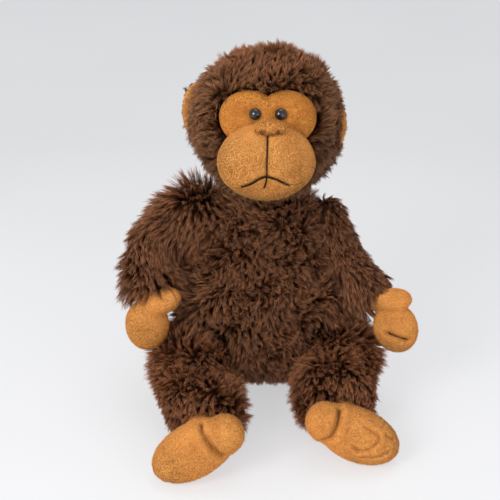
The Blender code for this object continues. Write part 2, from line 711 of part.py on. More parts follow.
def build_arms(root):
    left_pad = (LEFT_HAND_MIDDLE, HAND_PAD_RADII, in_face_plane(LEFT_HAND_TURN))
    right_pad = (RIGHT_HAND_MIDDLE, HAND_PAD_RADII, in_face_plane(RIGHT_HAND_TURN))
    left_thumb = (LEFT_THUMB_MIDDLE, THUMB_RADII, in_face_plane(LEFT_THUMB_TURN))
    right_thumb = (RIGHT_THUMB_MIDDLE, THUMB_RADII, in_face_plane(RIGHT_THUMB_TURN))
    rows = (
        ("left", LEFT_ARM, LEFT_WRIST, (-1, 0, 0), left_pad, left_thumb),
        ("right", RIGHT_ARM, RIGHT_WRIST, (1, 0, 0), right_pad, right_thumb),
    )
    for side, points, wrist, inward, pad, thumb in rows:
        shape = (ARM_RADIUS[side], ARM_END_RADIUS[side], 9.0)
        ball = WRIST_BALL
        at_root = build_limb(side, "arm", "shoulder", root, points, shape, wrist, ball, inward)
        back = Vector(points[-1]) - Vector(wrist)
        at_wrist = build_paw(side, "hand", "wrist", at_root, wrist, ball, back, pad, thumb)
        finger_stitch(side, pad[0], pad[2], at_wrist)


def build_legs(root):
    rows = (
        ("left", LEFT_LEG, LEFT_ANKLE, (-1, 0.6, 0.2), LEFT_FOOT_MIDDLE, LEFT_FOOT_TURN),
        ("right", RIGHT_LEG, RIGHT_ANKLE, (1, 0.6, 0.2), RIGHT_FOOT_MIDDLE, RIGHT_FOOT_TURN),
    )
    shape = (LEG_RADIUS, LEG_END_RADIUS, 15.0)
    for side, points, ankle, inward, foot, turn in rows:
        ball = ANKLE_BALL
        at_root = build_limb(side, "leg", "hip", root, points, shape, ankle, ball, inward)
        back = Vector(points[-1]) - Vector(ankle)
        turned = in_face_plane(turn, -FOOT_LEAN)
        toe = Vector(foot) + turned.to_3x3() @ Vector((-TOE_LOBE_BACK, -1.0, 0))
        pad = (foot, FOOT_PAD_RADII, turned)
        lobe = (toe, TOE_LOBE_RADII, turned)
        build_paw(side, "foot", "ankle", at_root, ankle, ball, back, pad, lobe)


def build():
    clear_scene()
    root = build_torso()
    neck = pivot("neck_pivot", NECK_PIVOT, root)
    ellipsoid("neck_filling", NECK_PIVOT, (NECK_BALL,) * 3, STUFFING, neck, segments=14, rings=8)
    build_head(neck)
    build_arms(root)
    build_legs(root)


build()
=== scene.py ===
import json
import math

import bmesh
import bpy
import numpy as np
from mathutils import Matrix, Vector
from mathutils.bvhtree import BVHTree

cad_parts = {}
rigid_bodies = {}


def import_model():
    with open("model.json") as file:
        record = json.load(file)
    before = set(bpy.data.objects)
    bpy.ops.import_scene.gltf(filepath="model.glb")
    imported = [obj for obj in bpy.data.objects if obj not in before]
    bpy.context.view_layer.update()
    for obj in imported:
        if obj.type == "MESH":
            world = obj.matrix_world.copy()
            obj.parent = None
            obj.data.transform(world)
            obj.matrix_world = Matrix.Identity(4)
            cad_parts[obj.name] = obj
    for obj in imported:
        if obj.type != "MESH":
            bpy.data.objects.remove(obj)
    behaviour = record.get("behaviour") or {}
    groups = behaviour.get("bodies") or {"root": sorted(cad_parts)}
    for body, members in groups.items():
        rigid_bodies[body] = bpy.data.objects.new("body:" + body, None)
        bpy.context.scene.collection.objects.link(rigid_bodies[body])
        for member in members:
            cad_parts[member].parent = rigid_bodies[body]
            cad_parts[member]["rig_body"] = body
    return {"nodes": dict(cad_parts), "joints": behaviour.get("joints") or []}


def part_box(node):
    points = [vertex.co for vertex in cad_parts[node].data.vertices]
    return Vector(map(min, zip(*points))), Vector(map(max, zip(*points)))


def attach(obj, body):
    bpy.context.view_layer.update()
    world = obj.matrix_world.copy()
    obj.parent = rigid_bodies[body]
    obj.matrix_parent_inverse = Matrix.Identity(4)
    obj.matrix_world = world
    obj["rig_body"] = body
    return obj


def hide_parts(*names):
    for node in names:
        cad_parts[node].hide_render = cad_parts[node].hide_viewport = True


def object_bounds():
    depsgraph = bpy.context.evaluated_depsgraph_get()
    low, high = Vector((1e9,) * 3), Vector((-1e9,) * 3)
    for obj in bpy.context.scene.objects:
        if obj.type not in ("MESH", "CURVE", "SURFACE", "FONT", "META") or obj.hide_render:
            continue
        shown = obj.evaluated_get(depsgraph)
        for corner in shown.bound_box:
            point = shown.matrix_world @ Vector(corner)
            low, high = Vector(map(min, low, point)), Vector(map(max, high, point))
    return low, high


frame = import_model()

MM = 0.001
CAD_LOW, CAD_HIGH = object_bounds()
NODES = frame["nodes"]
SEED = 7

# ---- strands: thickness, where their rings of points lie between root and tip, the rings' sizes,
# where along a strand its middle colour lies, and how many one piece may hold ----
STRAND_RADIUS = 0.19
STRAND_RINGS, RING_SIZES = (0.0, 0.45, 0.86), (0.9, 1.0, 0.66)
STRAND_MIDDLE = 0.62
MOST_STRANDS = 12200
# ---- locks of strands: how wide they are at the root, what share of that is left at the tip, how
# deep they are rooted, how much shorter a strand can be than its lock, how much the tint varies ----
LOCK_SPACING = 2.4
STRANDS_IN_LOCK = 10
LOCK_SPREAD, TIP_SPREAD = 1.45, 0.8
ROOT_DEPTH = 0.8
SHORTEST = 0.45
LOCK_TINT, STRAND_TINT = 0.17, 0.30
# ---- a skin's outer side is this far from its filling; the fur keeps this far off the floor ----
WALL_LOW, WALL_HIGH = 2.2, 3.2
FLOOR_PILE = 1.2
# ---- spots thrown per spacing squared, before those too near each other are dropped ----
THROWN = 2.2

# ---- the limbs' fur: its length, how flat it lies, how much longer it is towards the body ----
LIMB_FUR = {
    "left_arm": (7.0, 2.0, 6.0),
    "right_arm": (13.0, 0.95, 9.0),
    "left_leg": (13.0, 0.85, 3.0),
    "right_leg": (14.0, 0.75, 0.0),
}
LIMB_JOINTS = {"arm": ("shoulder_swing", "wrist_bend"), "leg": ("hip_swing", "ankle_bend")}
# ---- how far into the body's own outline it still grows, and how much paler its fur is painted, standing in for the light that falls on it ----
LIMB_INTO_BODY = {"arm": 3.0, "leg": 14.0}
LIMB_PAINTED_LIGHT = {"arm": 0.07, "leg": 0.30}
# ---- how much shorter it is on a foot's outer side ----
ANKLE_TAPER = {"left": 6.0, "right": 11.0}

# ---- plush: how far apart its fibres stand and how long they are ----
PILE_SIZE, NOSE_PILE_SIZE = (0.82, 1.15), (0.9, 2.0)
PILE_RADIUS = 0.36

# ---- face, in the head's frame: X to the monkey's left, -Y out of the face, Z up ----
HEAD_RADII = np.array([54.0, 50.0, 52.0])
HEAD_TILT = math.radians(-12)
BROW_LOBE_X, BROW_Z = 13.0, 10.0
BROW_RADII = (22.8, 19.6)
BROW_PROUD, BROW_PUFF, BROW_THICK = 1.2, 2.2, 2.4
BROW_HEM = 1.4
MUZZLE_MIDDLE = np.array([-1.2, -50.0, -20.0])
MUZZLE_RADII = np.array([34.5, 30.0, 28.0])
MUZZLE_SEAM = [(-0.4, 3.0), (-0.8, -7.0), (-1.1, -16.0), (-1.2, -25.4)]
MOUTH_RIGHT_SIDE = [(-19, -34.6), (-12.2, -31), (-6.5, -27)]
MOUTH_LEFT_SIDE = [(5.2, -27.2), (11, -30.5), (14.8, -33.2)]
MOUTH = [*MOUTH_RIGHT_SIDE, (-1.2, -25.8), *MOUTH_LEFT_SIDE]
MOUTH_FOLD = [(14.0, -33.0), (19.5, -33.2), (25.0, -31.0)]
LIP_TICK = [(-1.2, -26.0), (-2.0, -30.6), (-3.2, -34.0)]
NOSE_MIDDLE = np.array([1.4, -64.5, 6.6])
NOSE_RADII = np.array([10.6, 5.6, 5.0])
NOSTRILS = ((5.6, -2.6), (-5.6, -2.6))
EYE_RADIUS = 4.3
EYE_RISE, SHANK_RADIUS, SHANK_LENGTH = 0.80, 1.5, 5.0
EYE_PLACES = ((8.9, 13.6), (-8.9, 13.6))

# ---- threads: how far along one turn of their two plies takes ----
THREAD_PITCH = 1.7

# ---- ears: drawn a little taller than the CAD's, one higher than the other ----
EAR_GROWTH = 1.12
EAR_SHIFT = {"left": -3.0, "right": 6.5}
EAR_INWARD = {"left": 4.0, "right": 0.0}

# ---- how far round each joint the filling is covered with cloth ----
JOINT_COVER = {"neck_turn": 24.0}
for one in ("left", "right"):
    JOINT_COVER[f"{one}_shoulder_swing"] = 30.0
    JOINT_COVER[f"{one}_hip_swing"] = 62.0
    JOINT_COVER[f"{one}_wrist_bend"] = 14.0
    JOINT_COVER[f"{one}_ankle_bend"] = 16.0

# ---- hands: how deep the finger line pulls the plush in, its thread's radius and how proud it is ----
HAND_LINE = {"left": (2.6, 0.8, 0.3), "right": (0.5, 0.45, -0.4)}

# ---- how much paler the plush of the hands and feet is painted, standing in for the light that falls on them ----
PAW_PAINTED_LIGHT = {"hand": 0.18, "foot": 0.06}
# ---- the ball that closes each of them at its joint, and how finely they are remade ----
PAW_JOINT = {"hand": "wrist_bend", "foot": "ankle_bend"}
PAW_PLUG = {"hand": 9.5, "foot": 11.0}
PAW_VOXEL, PAW_ROUNDS = 0.75, 26
EAR_VOXEL, EAR_ROUNDS = 0.6, 6

# ---- feet: the way each foot's long axis lies, in degrees from +X towards +Z ----
FOOT_TURN = {"left": -24.0, "right": 210.0}
FOOT_LEAN = math.radians(15)
FOOT_PLUMP = (1.26, 1.03)
FOOT_FRONT = 16.0
# ---- the folds of each foot: width, depth, and points by how far along it and across it they lie ----
FOOT_FOLDS = {
    "left": (
        (2.0, 2.4, ((-17.4, 16), (-15, 8), (-14.2, 1), (-15, -6.7), (-19.2, -11.8))),
        (1.5, 0.9, ((4.9, 9.9), (16.9, 7.3), (16.1, 0), (11.7, -5.3), (6.2, -7.2))),
        (1.3, 0.6, ((21.8, 9), (27.2, 8.5))),
        (1.4, 0.8, ((12.5, -11.2), (20.8, -8), (28.1, -1.4))),
        (1.6, 1.4, ((3.0, -6.5), (6.5, -7.5))),
    ),
    "right": (
        (2.1, 2.0, ((-12.1, -17.3), (-9.9, -10.8), (-10.7, -0.6), (-12.1, 5.8), (-14.3, 12.9))),
        (1.8, 1.6, ((-10.4, -5), (-10.9, 3))),
        (1.3, 0.5, ((26.6, -4.7), (16.7, -3.5))),
        (1.3, 0.5, ((19.9, 7), (12, 14.6))),
    ),
}

# ---- where the fur is fuller: a place in mm, how far round it, and how much longer ----
FULLER = (
    ((-56.0, -15.0, 118.0), 24.0, 7.0),
    ((66.0, -28.0, 76.0), 26.0, 11.0),
    ((-72.0, -34.0, 68.0), 22.0, 10.0),
    ((-101.0, -40.0, 97.0), 14.0, 9.0),
    ((72.0, -36.0, 54.0), 20.0, 9.0),
)

# ---- camera: it looks down at the toy from in front ----
CAMERA_DOWN = math.radians(28)
CAMERA_FAR = 1000.0
CAMERA_LENS, CAMERA_SENSOR = 90.0, 36.0
CAMERA_ASIDE, CAMERA_HEIGHT = -17.2, 116.0

# ---- studio: the floor is a lit table, so that shadows on it stay pale; its glow fades from in
# front of the toy to behind it, over these two places in Y ----
FLOOR_GLOW = (0.57, 0.42)
FLOOR_FADE = (-0.15, 0.50)
FLOOR_HALF = 8.0
SKY_COLOUR, SKY_STRENGTH = (0.93, 0.95, 1.0, 1.0), 0.68
# ---- lamps: name, place in metres, size, power and colour ----
LAMPS = (
    ("key", (-0.9, -1.05, 1.0), 0.8, 13.0, (1.0, 0.98, 0.95)),
    ("fill", (0.8, -1.2, 0.55), 0.9, 2.6, (1, 1, 1)),
    ("top", (0.1, 0.3, 1.4), 0.9, 3.5, (1, 1, 1)),
)

FUR_COLOURS = ((0.036, 0.0100, 0.0032), (0.155, 0.056, 0.0205), (0.42, 0.200, 0.104))
HEAD_FUR_COLOURS = ((0.050, 0.0160, 0.0052), (0.200, 0.078, 0.0290), (0.46, 0.215, 0.105))
PLUSH_COLOURS = ((0.50, 0.185, 0.034), (0.80, 0.350, 0.085), (0.95, 0.520, 0.180))
# the brow's plush: the same plush painted darker, as shade where its pile lies another way
BROW_COLOURS = ((0.42, 0.145, 0.020), (0.66, 0.265, 0.050), (0.84, 0.400, 0.105))


# ---------------------------------------------------------------- numbers
def unit(v):
    return v / np.maximum(np.linalg.norm(v, axis=-1, keepdims=True), 1e-12)


def smooth_step(x, low, high):
    t = np.clip((x - low) / (high - low), 0.0, 1.0)
    return t * t * (3 - 2 * t)


def bell(x, width, middle=0.0):
    """1 at the middle, fading away on both sides over the width."""
    return np.exp(-(((x - middle) / width) ** 2))


def away(points, place):
    """How far each point is from a place."""
    return np.linalg.norm(points - place, axis=1)


def wander(points, size, seed):
    """A smooth wandering vector at each point, each part between about -1 and 1."""
    rng = np.random.default_rng(seed)
    ways = rng.normal(size=(3, 5, 3)) / (size * MM)
    phases = rng.random((3, 5)) * 2 * math.pi
    waves = np.sin(np.einsum("nd,ijd->nij", points, ways) + phases)
    return waves.sum(axis=2) / 2.2


def to_polyline(points, line):
    """Distance of each point to a polyline, in as many dimensions as both have."""
    best = np.full(len(points), 1e9)
    line = np.asarray(line, float)
    for a, b in zip(line, line[1:]):
        d = b - a
        t = np.clip((points - a) @ d / max(d @ d, 1e-12), 0, 1)
        best = np.minimum(best, np.linalg.norm(points - (a + t[:, None] * d), axis=1))
    return best


def rounded(points, per_span=8):
    """Catmull-Rom through the points."""
    pts = [np.asarray(p, float) for p in points]
    ends = [2 * pts[0] - pts[1], *pts, 2 * pts[-1] - pts[-2]]
    made = []
    for i in range(1, len(ends) - 2):
        a, b, c, d = ends[i - 1 : i + 3]
        for k in range(per_span):
            t = k / per_span
            curve = 2 * b + (c - a) * t + (2 * a - 5 * b + 4 * c - d) * t * t
            made.append(0.5 * (curve + (3 * b - a - 3 * c + d) * t**3))
    made.append(pts[-1])
    return np.array(made)


# ---------------------------------------------------------------- meshes
def linked(name, data):
    item = bpy.data.objects.new(name, data)
    bpy.context.scene.collection.objects.link(item)
    return item


def mesh_object(name, points, faces):
    """An object from points and equal-sided faces."""
    faces = np.ascontiguousarray(faces, np.int32)
    data = bpy.data.meshes.new(name)
    data.vertices.add(len(points))
    data.vertices.foreach_set("co", np.ascontiguousarray(points, np.float32).ravel())
    data.loops.add(faces.size)
    data.loops.foreach_set("vertex_index", faces.ravel())
    data.polygons.add(len(faces))
    starts = np.arange(0, faces.size, faces.shape[1], dtype=np.int32)
    data.polygons.foreach_set("loop_start", starts)
    data.polygons.foreach_set("use_smooth", np.full(len(faces), True))
    data.update(calc_edges=True)
    return linked(name, data)


def move_points(item, points):
    item.data.vertices.foreach_set("co", points.astype(np.float32).ravel())
    item.data.update()


def set_shade(item, shade):
    """Stores how much painted shade each point gets, 0 to 1, by how deep in a crease it lies, for the
    plush material.
    """
    layer = item.data.attributes.new("shade", "FLOAT", "POINT")
    layer.data.foreach_set("value", np.clip(shade, 0, 1).astype(np.float32))


def vertex_normals(points, faces):
    a = points[faces[:, 2]] - points[faces[:, 0]]
    b = points[faces[:, -1]] - points[faces[:, 1]]
    if faces.shape[1] == 3:
        a, b = points[faces[:, 1]] - points[faces[:, 0]], points[faces[:, 2]] - points[faces[:, 0]]
    flat = np.cross(a, b)
    made = np.zeros_like(points)
    for corner in range(faces.shape[1]):
        for axis in range(3):
            made[:, axis] += np.bincount(faces[:, corner], flat[:, axis], len(points))
    return unit(made)


def edges_of(faces):
    pairs = [faces[:, [i, (i + 1) % faces.shape[1]]] for i in range(faces.shape[1])]
    return np.unique(np.sort(np.concatenate(pairs), axis=1), axis=0)


def averaged(values, edges, rounds, share=0.5):
    """Each value moved towards its neighbours' average, again and again."""
    values = values.copy()
    flat = values.reshape(len(values), -1)
    count = np.bincount(edges.ravel(), minlength=len(flat))[:, None]
    a, b = edges[:, 0], edges[:, 1]
    for _ in range(rounds):
        total = np.empty_like(flat)
        for i in range(flat.shape[1]):
            total[:, i] = np.bincount(a, flat[b, i], len(flat)) + np.bincount(b, flat[a, i], len(flat))
        flat += share * (total / np.maximum(count, 1) - flat)
    return flat.reshape(values.shape)


def relaxed(points, faces, rounds):
    """Smooths the surface, then swells it back to its own size."""
    edges = edges_of(faces)
    made = averaged(points, edges, rounds)
    normals = vertex_normals(made, faces)
    lost = ((points - made) * normals).sum(axis=1)
    return made + normals * averaged(lost, edges, rounds * 2)[:, None]


def read_mesh(data):
    """(points, triangles) of a mesh."""
    data.calc_loop_triangles()
    points = np.empty(len(data.vertices) * 3, np.float32)
    data.vertices.foreach_get("co", points)
    tris = np.empty(len(data.loop_triangles) * 3, np.int32)
    data.loop_triangles.foreach_get("vertices", tris)
    return points.reshape(-1, 3).astype(float), tris.reshape(-1, 3)


def cad_surface(node):
    """The node's own points, welded, and its triangles."""
    points, tris = read_mesh(NODES[node].data)
    keys = np.round(points / (0.01 * MM)).astype(np.int64)
    _, first, back = np.unique(keys, axis=0, return_index=True, return_inverse=True)
    tris = back.reshape(-1)[tris]
    whole = (tris[:, 0] != tris[:, 1]) & (tris[:, 1] != tris[:, 2]) & (tris[:, 0] != tris[:, 2])
    points = points[first]
    if "_ear_" in node:
        points = taller_ear(points, node.split("_")[0])
    return points, tris[whole]


def taller_ear(points, side):
    local = in_head(points)
    middle = (local[:, 2].min() + local[:, 2].max()) / 2
    local[:, 2] = middle + (local[:, 2] - middle) * EAR_GROWTH + EAR_SHIFT[side]
    local[:, 0] -= EAR_INWARD[side]
    return from_head(local)


def tree_of(points, faces):
    return BVHTree.FromPolygons(points.tolist(), faces.tolist())


def outer_surface(node, *cores):
    """Only the triangles of a skin's outer side, with smooth normals: those a wall's thickness
    away from the fillings inside it."""
    points, tris = cad_surface(node)
    normals = vertex_normals(points, tris)
    if not cores:
        return points, tris, normals
    inside = joined(*[cad_surface(core) for core in cores])
    core = tree_of(*inside)
    skin = tree_of(points, tris)
    corners = points[tris]
    flat = unit(np.cross(corners[:, 1] - corners[:, 0], corners[:, 2] - corners[:, 0]))
    keep = []
    for middle, way in zip(corners.mean(axis=1), flat):
        far = core.find_nearest(Vector(middle))[3] / MM
        open_air = skin.ray_cast(Vector(middle + way * 0.05 * MM), Vector(way))[0] is None
        keep.append(far > WALL_HIGH or far > WALL_LOW and open_air)
    return points, tris[np.array(keep)], normals


def surface_of(item):
    """(points, triangles, normals) of a finished piece."""
    points, tris = read_mesh(item.data)
    return points, tris, vertex_normals(points, tris)


def scatter(surface, spacing, rng):
    """Spots about one spacing apart all over a surface, with the way out at each."""
    points, tris, normals = surface
    a, b, c = points[tris[:, 0]], points[tris[:, 1]], points[tris[:, 2]]
    areas = 0.5 * np.linalg.norm(np.cross(b - a, c - a), axis=1)
    count = int(THROWN * areas.sum() / (spacing * MM) ** 2)
    pick = rng.choice(len(tris), count, p=areas / areas.sum())
    u, v = rng.random((2, count))
    over = u + v > 1
    u[over], v[over] = 1 - u[over], 1 - v[over]
    weights = np.stack([1 - u - v, u, v], axis=1)[:, :, None]
    spots = (points[tris[pick]] * weights).sum(axis=1)
    ways = unit((normals[tris[pick]] * weights).sum(axis=1))
    cells = np.floor(spots / (spacing * MM)).astype(np.int64)
    first = np.sort(np.unique(cells, axis=0, return_index=True)[1])
    return spots[first], ways[first]


def remeshed(points, faces, voxel):
    """One closed skin of even quads around the given bodies, without any sealed hollow."""
    raw = mesh_object("raw", points, faces)
    step = raw.modifiers.new("voxels", "REMESH")
    step.mode = "VOXEL"
    step.voxel_size = voxel * MM
    step.adaptivity = 0.0
    graph = bpy.context.evaluated_depsgraph_get()
    made = raw.evaluated_get(graph).to_mesh()
    spots = np.empty(len(made.vertices) * 3, np.float32)
    made.vertices.foreach_get("co", spots)
    spots = spots.reshape(-1, 3).astype(float)
    quads = np.empty(len(made.loops), np.int32)
    made.loops.foreach_get("vertex_index", quads)
    quads = quads.reshape(-1, 4)
    raw.evaluated_get(graph).to_mesh_clear()
    data = raw.data
    bpy.data.objects.remove(raw)
    bpy.data.meshes.remove(data)
    return outer_island(spots, quads)


def outer_island(points, faces):
    """Keeps only the connected part that reaches furthest out."""
    edges = edges_of(faces)
    label = np.arange(len(points))
    while True:
        lower = label.copy()
        np.minimum.at(lower, edges[:, 0], label[edges[:, 1]])
        np.minimum.at(lower, edges[:, 1], label[edges[:, 0]])
        lower = lower[lower]
        if (lower == label).all():
            break
        label = lower
    sizes = {}
    for one in np.unique(label):
        part = points[label == one]
        sizes[one] = np.linalg.norm(part.max(axis=0) - part.min(axis=0))
    best = max(sizes, key=sizes.get)
    kept = label == best
    index = np.cumsum(kept) - 1
    return points[kept], index[faces[kept[faces[:, 0]]]]


def icosphere(detail):
    bm = bmesh.new()
    bmesh.ops.create_icosphere(bm, subdivisions=detail, radius=1.0)
    ways = np.array([v.co[:] for v in bm.verts])
    tris = np.array([[v.index for v in f.verts] for f in bm.faces])
    bm.free()
    return ways, tris


def ball(middle, radius):
    ways, tris = icosphere(3)
    return ways * radius * MM + np.asarray(middle, float), tris


def halves(a, b, c, d):
    """The two triangles of each four-sided face."""
    return [np.stack(three, -1).reshape(-1, 3) for three in ((a, b, c), (a, c, d))]


def sleeve(index, start, end):
    """Triangles of a tube whose rows of points are given, closed at each end onto one point."""
    turned = np.roll(index, -1, axis=1)
    tris = halves(index[:-1], turned[:-1], turned[1:], index[1:])
    tris.append(np.stack([turned[0], index[0], np.full(len(index[0]), start)], -1))
    tris.append(np.stack([index[-1], turned[-1], np.full(len(index[0]), end)], -1))
    return np.concatenate(tris)


def joined(*parts):
    points, faces, count = [], [], 0
    for spots, tris in parts:
        points.append(spots)
        faces.append(tris + count)
        count += len(spots)
    return np.concatenate(points), np.concatenate(faces)


# ---------------------------------------------------------------- the head's frame
def head_matrix():
    low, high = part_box("head_shell")
    half = math.hypot(HEAD_RADII[1] * math.sin(HEAD_TILT), HEAD_RADII[2] * math.cos(HEAD_TILT))
    middle = Vector(((low.x + high.x) / 2, (low.y + high.y) / 2, high.z - half * MM))
    return np.array(Matrix.Translation(middle) @ Matrix.Rotation(HEAD_TILT, 4, "X"))


HEAD = head_matrix()


def from_head(points_mm):
    return np.asarray(points_mm, float) * MM @ HEAD[:3, :3].T + HEAD[:3, 3]


def turn_from_head(ways):
    return np.asarray(ways, float) @ HEAD[:3, :3].T


def in_head(points):
    """The head's own millimetres for world points."""
    return (points - HEAD[:3, 3]) @ HEAD[:3, :3] / MM


def on_head(x, z, out):
    """Points `out` above the head's oval, over the given x and z, in head millimetres."""
    a, b, c = HEAD_RADII
    x, z = np.asarray(x, float), np.asarray(z, float)
    y = -b * np.sqrt(np.clip(1 - (x / a) ** 2 - (z / c) ** 2, 0.0, None))
    spot = np.stack([x, y, z], axis=-1)
    return spot + unit(spot / HEAD_RADII**2) * np.asarray(out)[..., None]


def joint_anchor(name):
    for joint in frame["joints"]:
        if joint["name"] == name:
            return np.array(joint["pos_m"], float)
    raise ValueError(name)


# ---------------------------------------------------------------- materials
def new_material(name, rough, shine=0.5):
    made = bpy.data.materials.new(name)
    made.use_nodes = True
    shader = made.node_tree.nodes["Principled BSDF"]
    shader.inputs["Roughness"].default_value = rough
    shader.inputs["Specular IOR Level"].default_value = shine
    return made, made.node_tree, shader


def ramp(tree, source, stops):
    node = tree.nodes.new("ShaderNodeValToRGB")
    elements = node.color_ramp.elements
    while len(elements) < len(stops):
        elements.new(0.5)
    for element, (at, colour) in zip(elements, stops):
        element.position = at
        element.color = (*colour, 1.0)
    tree.links.new(source, node.inputs["Fac"])
    return node.outputs["Color"]


def add(tree, kind, **settings):
    """A new node. Each setting goes to the input of its name, as a link or as a value."""
    made = tree.nodes.new("ShaderNode" + kind)
    for name, value in settings.items():
        socket = made.inputs[name.replace("_", " ")]
        if isinstance(value, bpy.types.NodeSocket):
            tree.links.new(value, socket)
        else:
            socket.default_value = value
    return made


def noise(tree, scale, detail=3.0, stretch=(1, 1, 1)):
    coords = add(tree, "TexCoord").outputs["Object"]
    at = add(tree, "Mapping", Scale=stretch, Vector=coords).outputs["Vector"]
    return add(tree, "TexNoise", Scale=scale, Detail=detail, Vector=at).outputs["Fac"]


def shade_of(tree):
    """What set_shade() stored on the piece."""
    made = add(tree, "Attribute")
    made.attribute_name = "shade"
    return made.outputs["Fac"]


def mixed(tree, kind, share, first, second):
    node = tree.nodes.new("ShaderNodeMix")
    node.data_type = "RGBA"
    node.blend_type = kind
    for socket, value in (("Factor", share), ("A", first), ("B", second)):
        into = [i for i in node.inputs if i.name == socket and i.enabled][0]
        if isinstance(value, (int, float)):
            into.default_value = value
        elif isinstance(value, tuple):
            into.default_value = (*value, 1.0)
        else:
            tree.links.new(value, into)
    return [o for o in node.outputs if o.enabled][0]


def surfaced(tree, shader, colour, grain, rough, bump, height):
    """Colour, and from the same grain the roughness range and the bump."""
    tree.links.new(colour, shader.inputs["Base Color"])
    wear = add(tree, "MapRange", To_Min=rough[0], To_Max=rough[1], Value=grain)
    tree.links.new(wear.outputs["Result"], shader.inputs["Roughness"])
    if bump:
        relief = add(tree, "Bump", Strength=bump, Distance=height * MM, Height=grain)
        tree.links.new(relief.outputs["Normal"], shader.inputs["Normal"])


def strand_material(name, colours, rough, tints, warm):
    """Coloured along each strand from root to tip, and by the tint of its lock, which also carries
    painted light and shade. Both are kept in the strands' own map: across it the tint, up it the way to
    the tip."""
    made, tree, shader = new_material(name, rough, 0.22)
    where = add(tree, "UVMap")
    where.uv_map = "OFBake"
    split = add(tree, "SeparateXYZ", Vector=where.outputs["UV"]).outputs
    along = ramp(tree, split["Y"], tuple(zip((0.0, STRAND_MIDDLE, 1.0), colours)))
    tint = ramp(tree, split["X"], ((0.0, (tints[0],) * 3), (1.0, (tints[1],) * 3)))
    lit = mixed(tree, "MULTIPLY", 1.0, along, tint)
    warmth = ramp(tree, split["X"], ((0.0, (0.92, 1.0, 1.06)), (0.5, (1, 1, 1)), (1.0, warm)))
    tree.links.new(mixed(tree, "MULTIPLY", 1.0, lit, warmth), shader.inputs["Base Color"])
    return made


def plush_material(name, colours):
    """Short dense pile seen from above: fine grains, brushed patches, and painted shade darkening the
    creases.
    """
    made, tree, shader = new_material(name, 0.9, 0.1)
    dark, middle, light = colours
    grain = noise(tree, 900.0, 2.0)
    fine = ramp(tree, grain, ((0.3, dark), (0.7, light)))
    broad = ramp(tree, noise(tree, 60.0, 3.0), ((0.35, dark), (0.65, middle)))
    # painted shade: where set_shade() marks a crease, the colour darkens towards this
    deep = tuple(0.35 * c for c in dark)
    colour = mixed(tree, "MIX", shade_of(tree), mixed(tree, "MIX", 0.55, fine, broad), deep)
    surfaced(tree, shader, colour, grain, (0.8, 1.0), 0.8, 0.6)
    return made


def two_colours(tree, source, at, own, cover):
    """A piece's own two colours, and those of its cover where it is marked as covered."""
    colour = ramp(tree, source, tuple(zip(at, own)))
    if cover is None:
        return colour
    return mixed(tree, "MIX", shade_of(tree), colour, ramp(tree, source, tuple(zip(at, cover))))


def cloth_material(name, own, scale, strength, stretch=(1, 1, 1), rough=(0.8, 1.0), cover=None):
    """Fibrous cloth or filling."""
    made, tree, shader = new_material(name, 0.9, 0.1)
    grain = noise(tree, scale, 6.0, stretch)
    colour = two_colours(tree, grain, (0.3, 0.7), own, cover)
    surfaced(tree, shader, colour, grain, rough, strength, 0.8)
    return made


def woven_material(name, own, cover):
    """Plain weave: two crossed waves."""
    made, tree, shader = new_material(name, 0.9, 0.5)
    coords = add(tree, "TexCoord").outputs["Object"]
    waves = []
    for direction in ("X", "Y"):
        wave = add(tree, "TexWave", Scale=320.0, Distortion=0.8, Vector=coords)
        wave.bands_direction = direction
        waves.append(wave.outputs["Color"])
    weave = mixed(tree, "MULTIPLY", 1.0, *waves)
    colour = two_colours(tree, weave, (0.0, 0.6), own, cover)
    surfaced(tree, shader, colour, weave, (0.9, 0.7), 0.6, 0.4)
    return made


def eye_material():
    made, tree, shader = new_material("eye_gloss", 0.07, 0.5)
    cloud = noise(tree, 260.0, 2.0)
    colour = ramp(tree, cloud, ((0.3, (0.004, 0.005, 0.007)), (0.7, (0.010, 0.012, 0.017))))
    surfaced(tree, shader, colour, cloud, (0.05, 0.11), 0.0, 0.0)
    shader.inputs["Coat Weight"].default_value = 0.6
    shader.inputs["Coat Roughness"].default_value = 0.04
    return made


def make_materials():
    fur_warmth, plush_warmth = (1.12, 0.97, 0.86), (1.04, 0.99, 0.94)
    ground = (0.030, 0.010, 0.004), (0.115, 0.042, 0.016)
    white = (0.62, 0.62, 0.6), (0.9, 0.9, 0.88)
    nylon = (0.62, 0.62, 0.58), (0.80, 0.80, 0.77)
    linen = (0.42, 0.40, 0.35), (0.80, 0.78, 0.72)
    brown = (0.005, 0.003, 0.002), (0.03, 0.016, 0.010)
    return {
        "fur": strand_material("fur_locks", FUR_COLOURS, 0.58, (0.62, 1.38), fur_warmth),
        "head_fur": strand_material("head_fur_locks", HEAD_FUR_COLOURS, 0.58, (0.62, 1.36), fur_warmth),
        "pile": strand_material("plush_pile", PLUSH_COLOURS, 0.9, (0.30, 1.34), plush_warmth),
        "brow_pile": strand_material("brow_pile", BROW_COLOURS, 0.9, (0.30, 1.34), plush_warmth),
        "plush": plush_material("plush_ground", PLUSH_COLOURS),
        "brow_plush": plush_material("brow_plush_ground", BROW_COLOURS),
        "backing": cloth_material("fur_ground", ground, 700.0, 0.8),
        "batting": cloth_material("batting", white, 240.0, 0.9, (1, 3, 1), cover=ground),
        "pellets": woven_material("pellet_cloth", linen, ground),
        "washer": cloth_material("washer_nylon", nylon, 500.0, 0.1, rough=(0.35, 0.5)),
        "thread": cloth_material("brown_thread", brown, 2500.0, 0.5, rough=(0.5, 0.7)),
        "eye": eye_material(),
    }


LOOKS = make_materials()


def dress(item, look, body, slot, *nodes):
    """Gives a piece its material and its body, and hides the CAD nodes it stands for. Its slot is not
    used.
    """
    item.data.materials.append(LOOKS[look])
    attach(item, body)
    if nodes:
        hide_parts(*nodes)
    return item


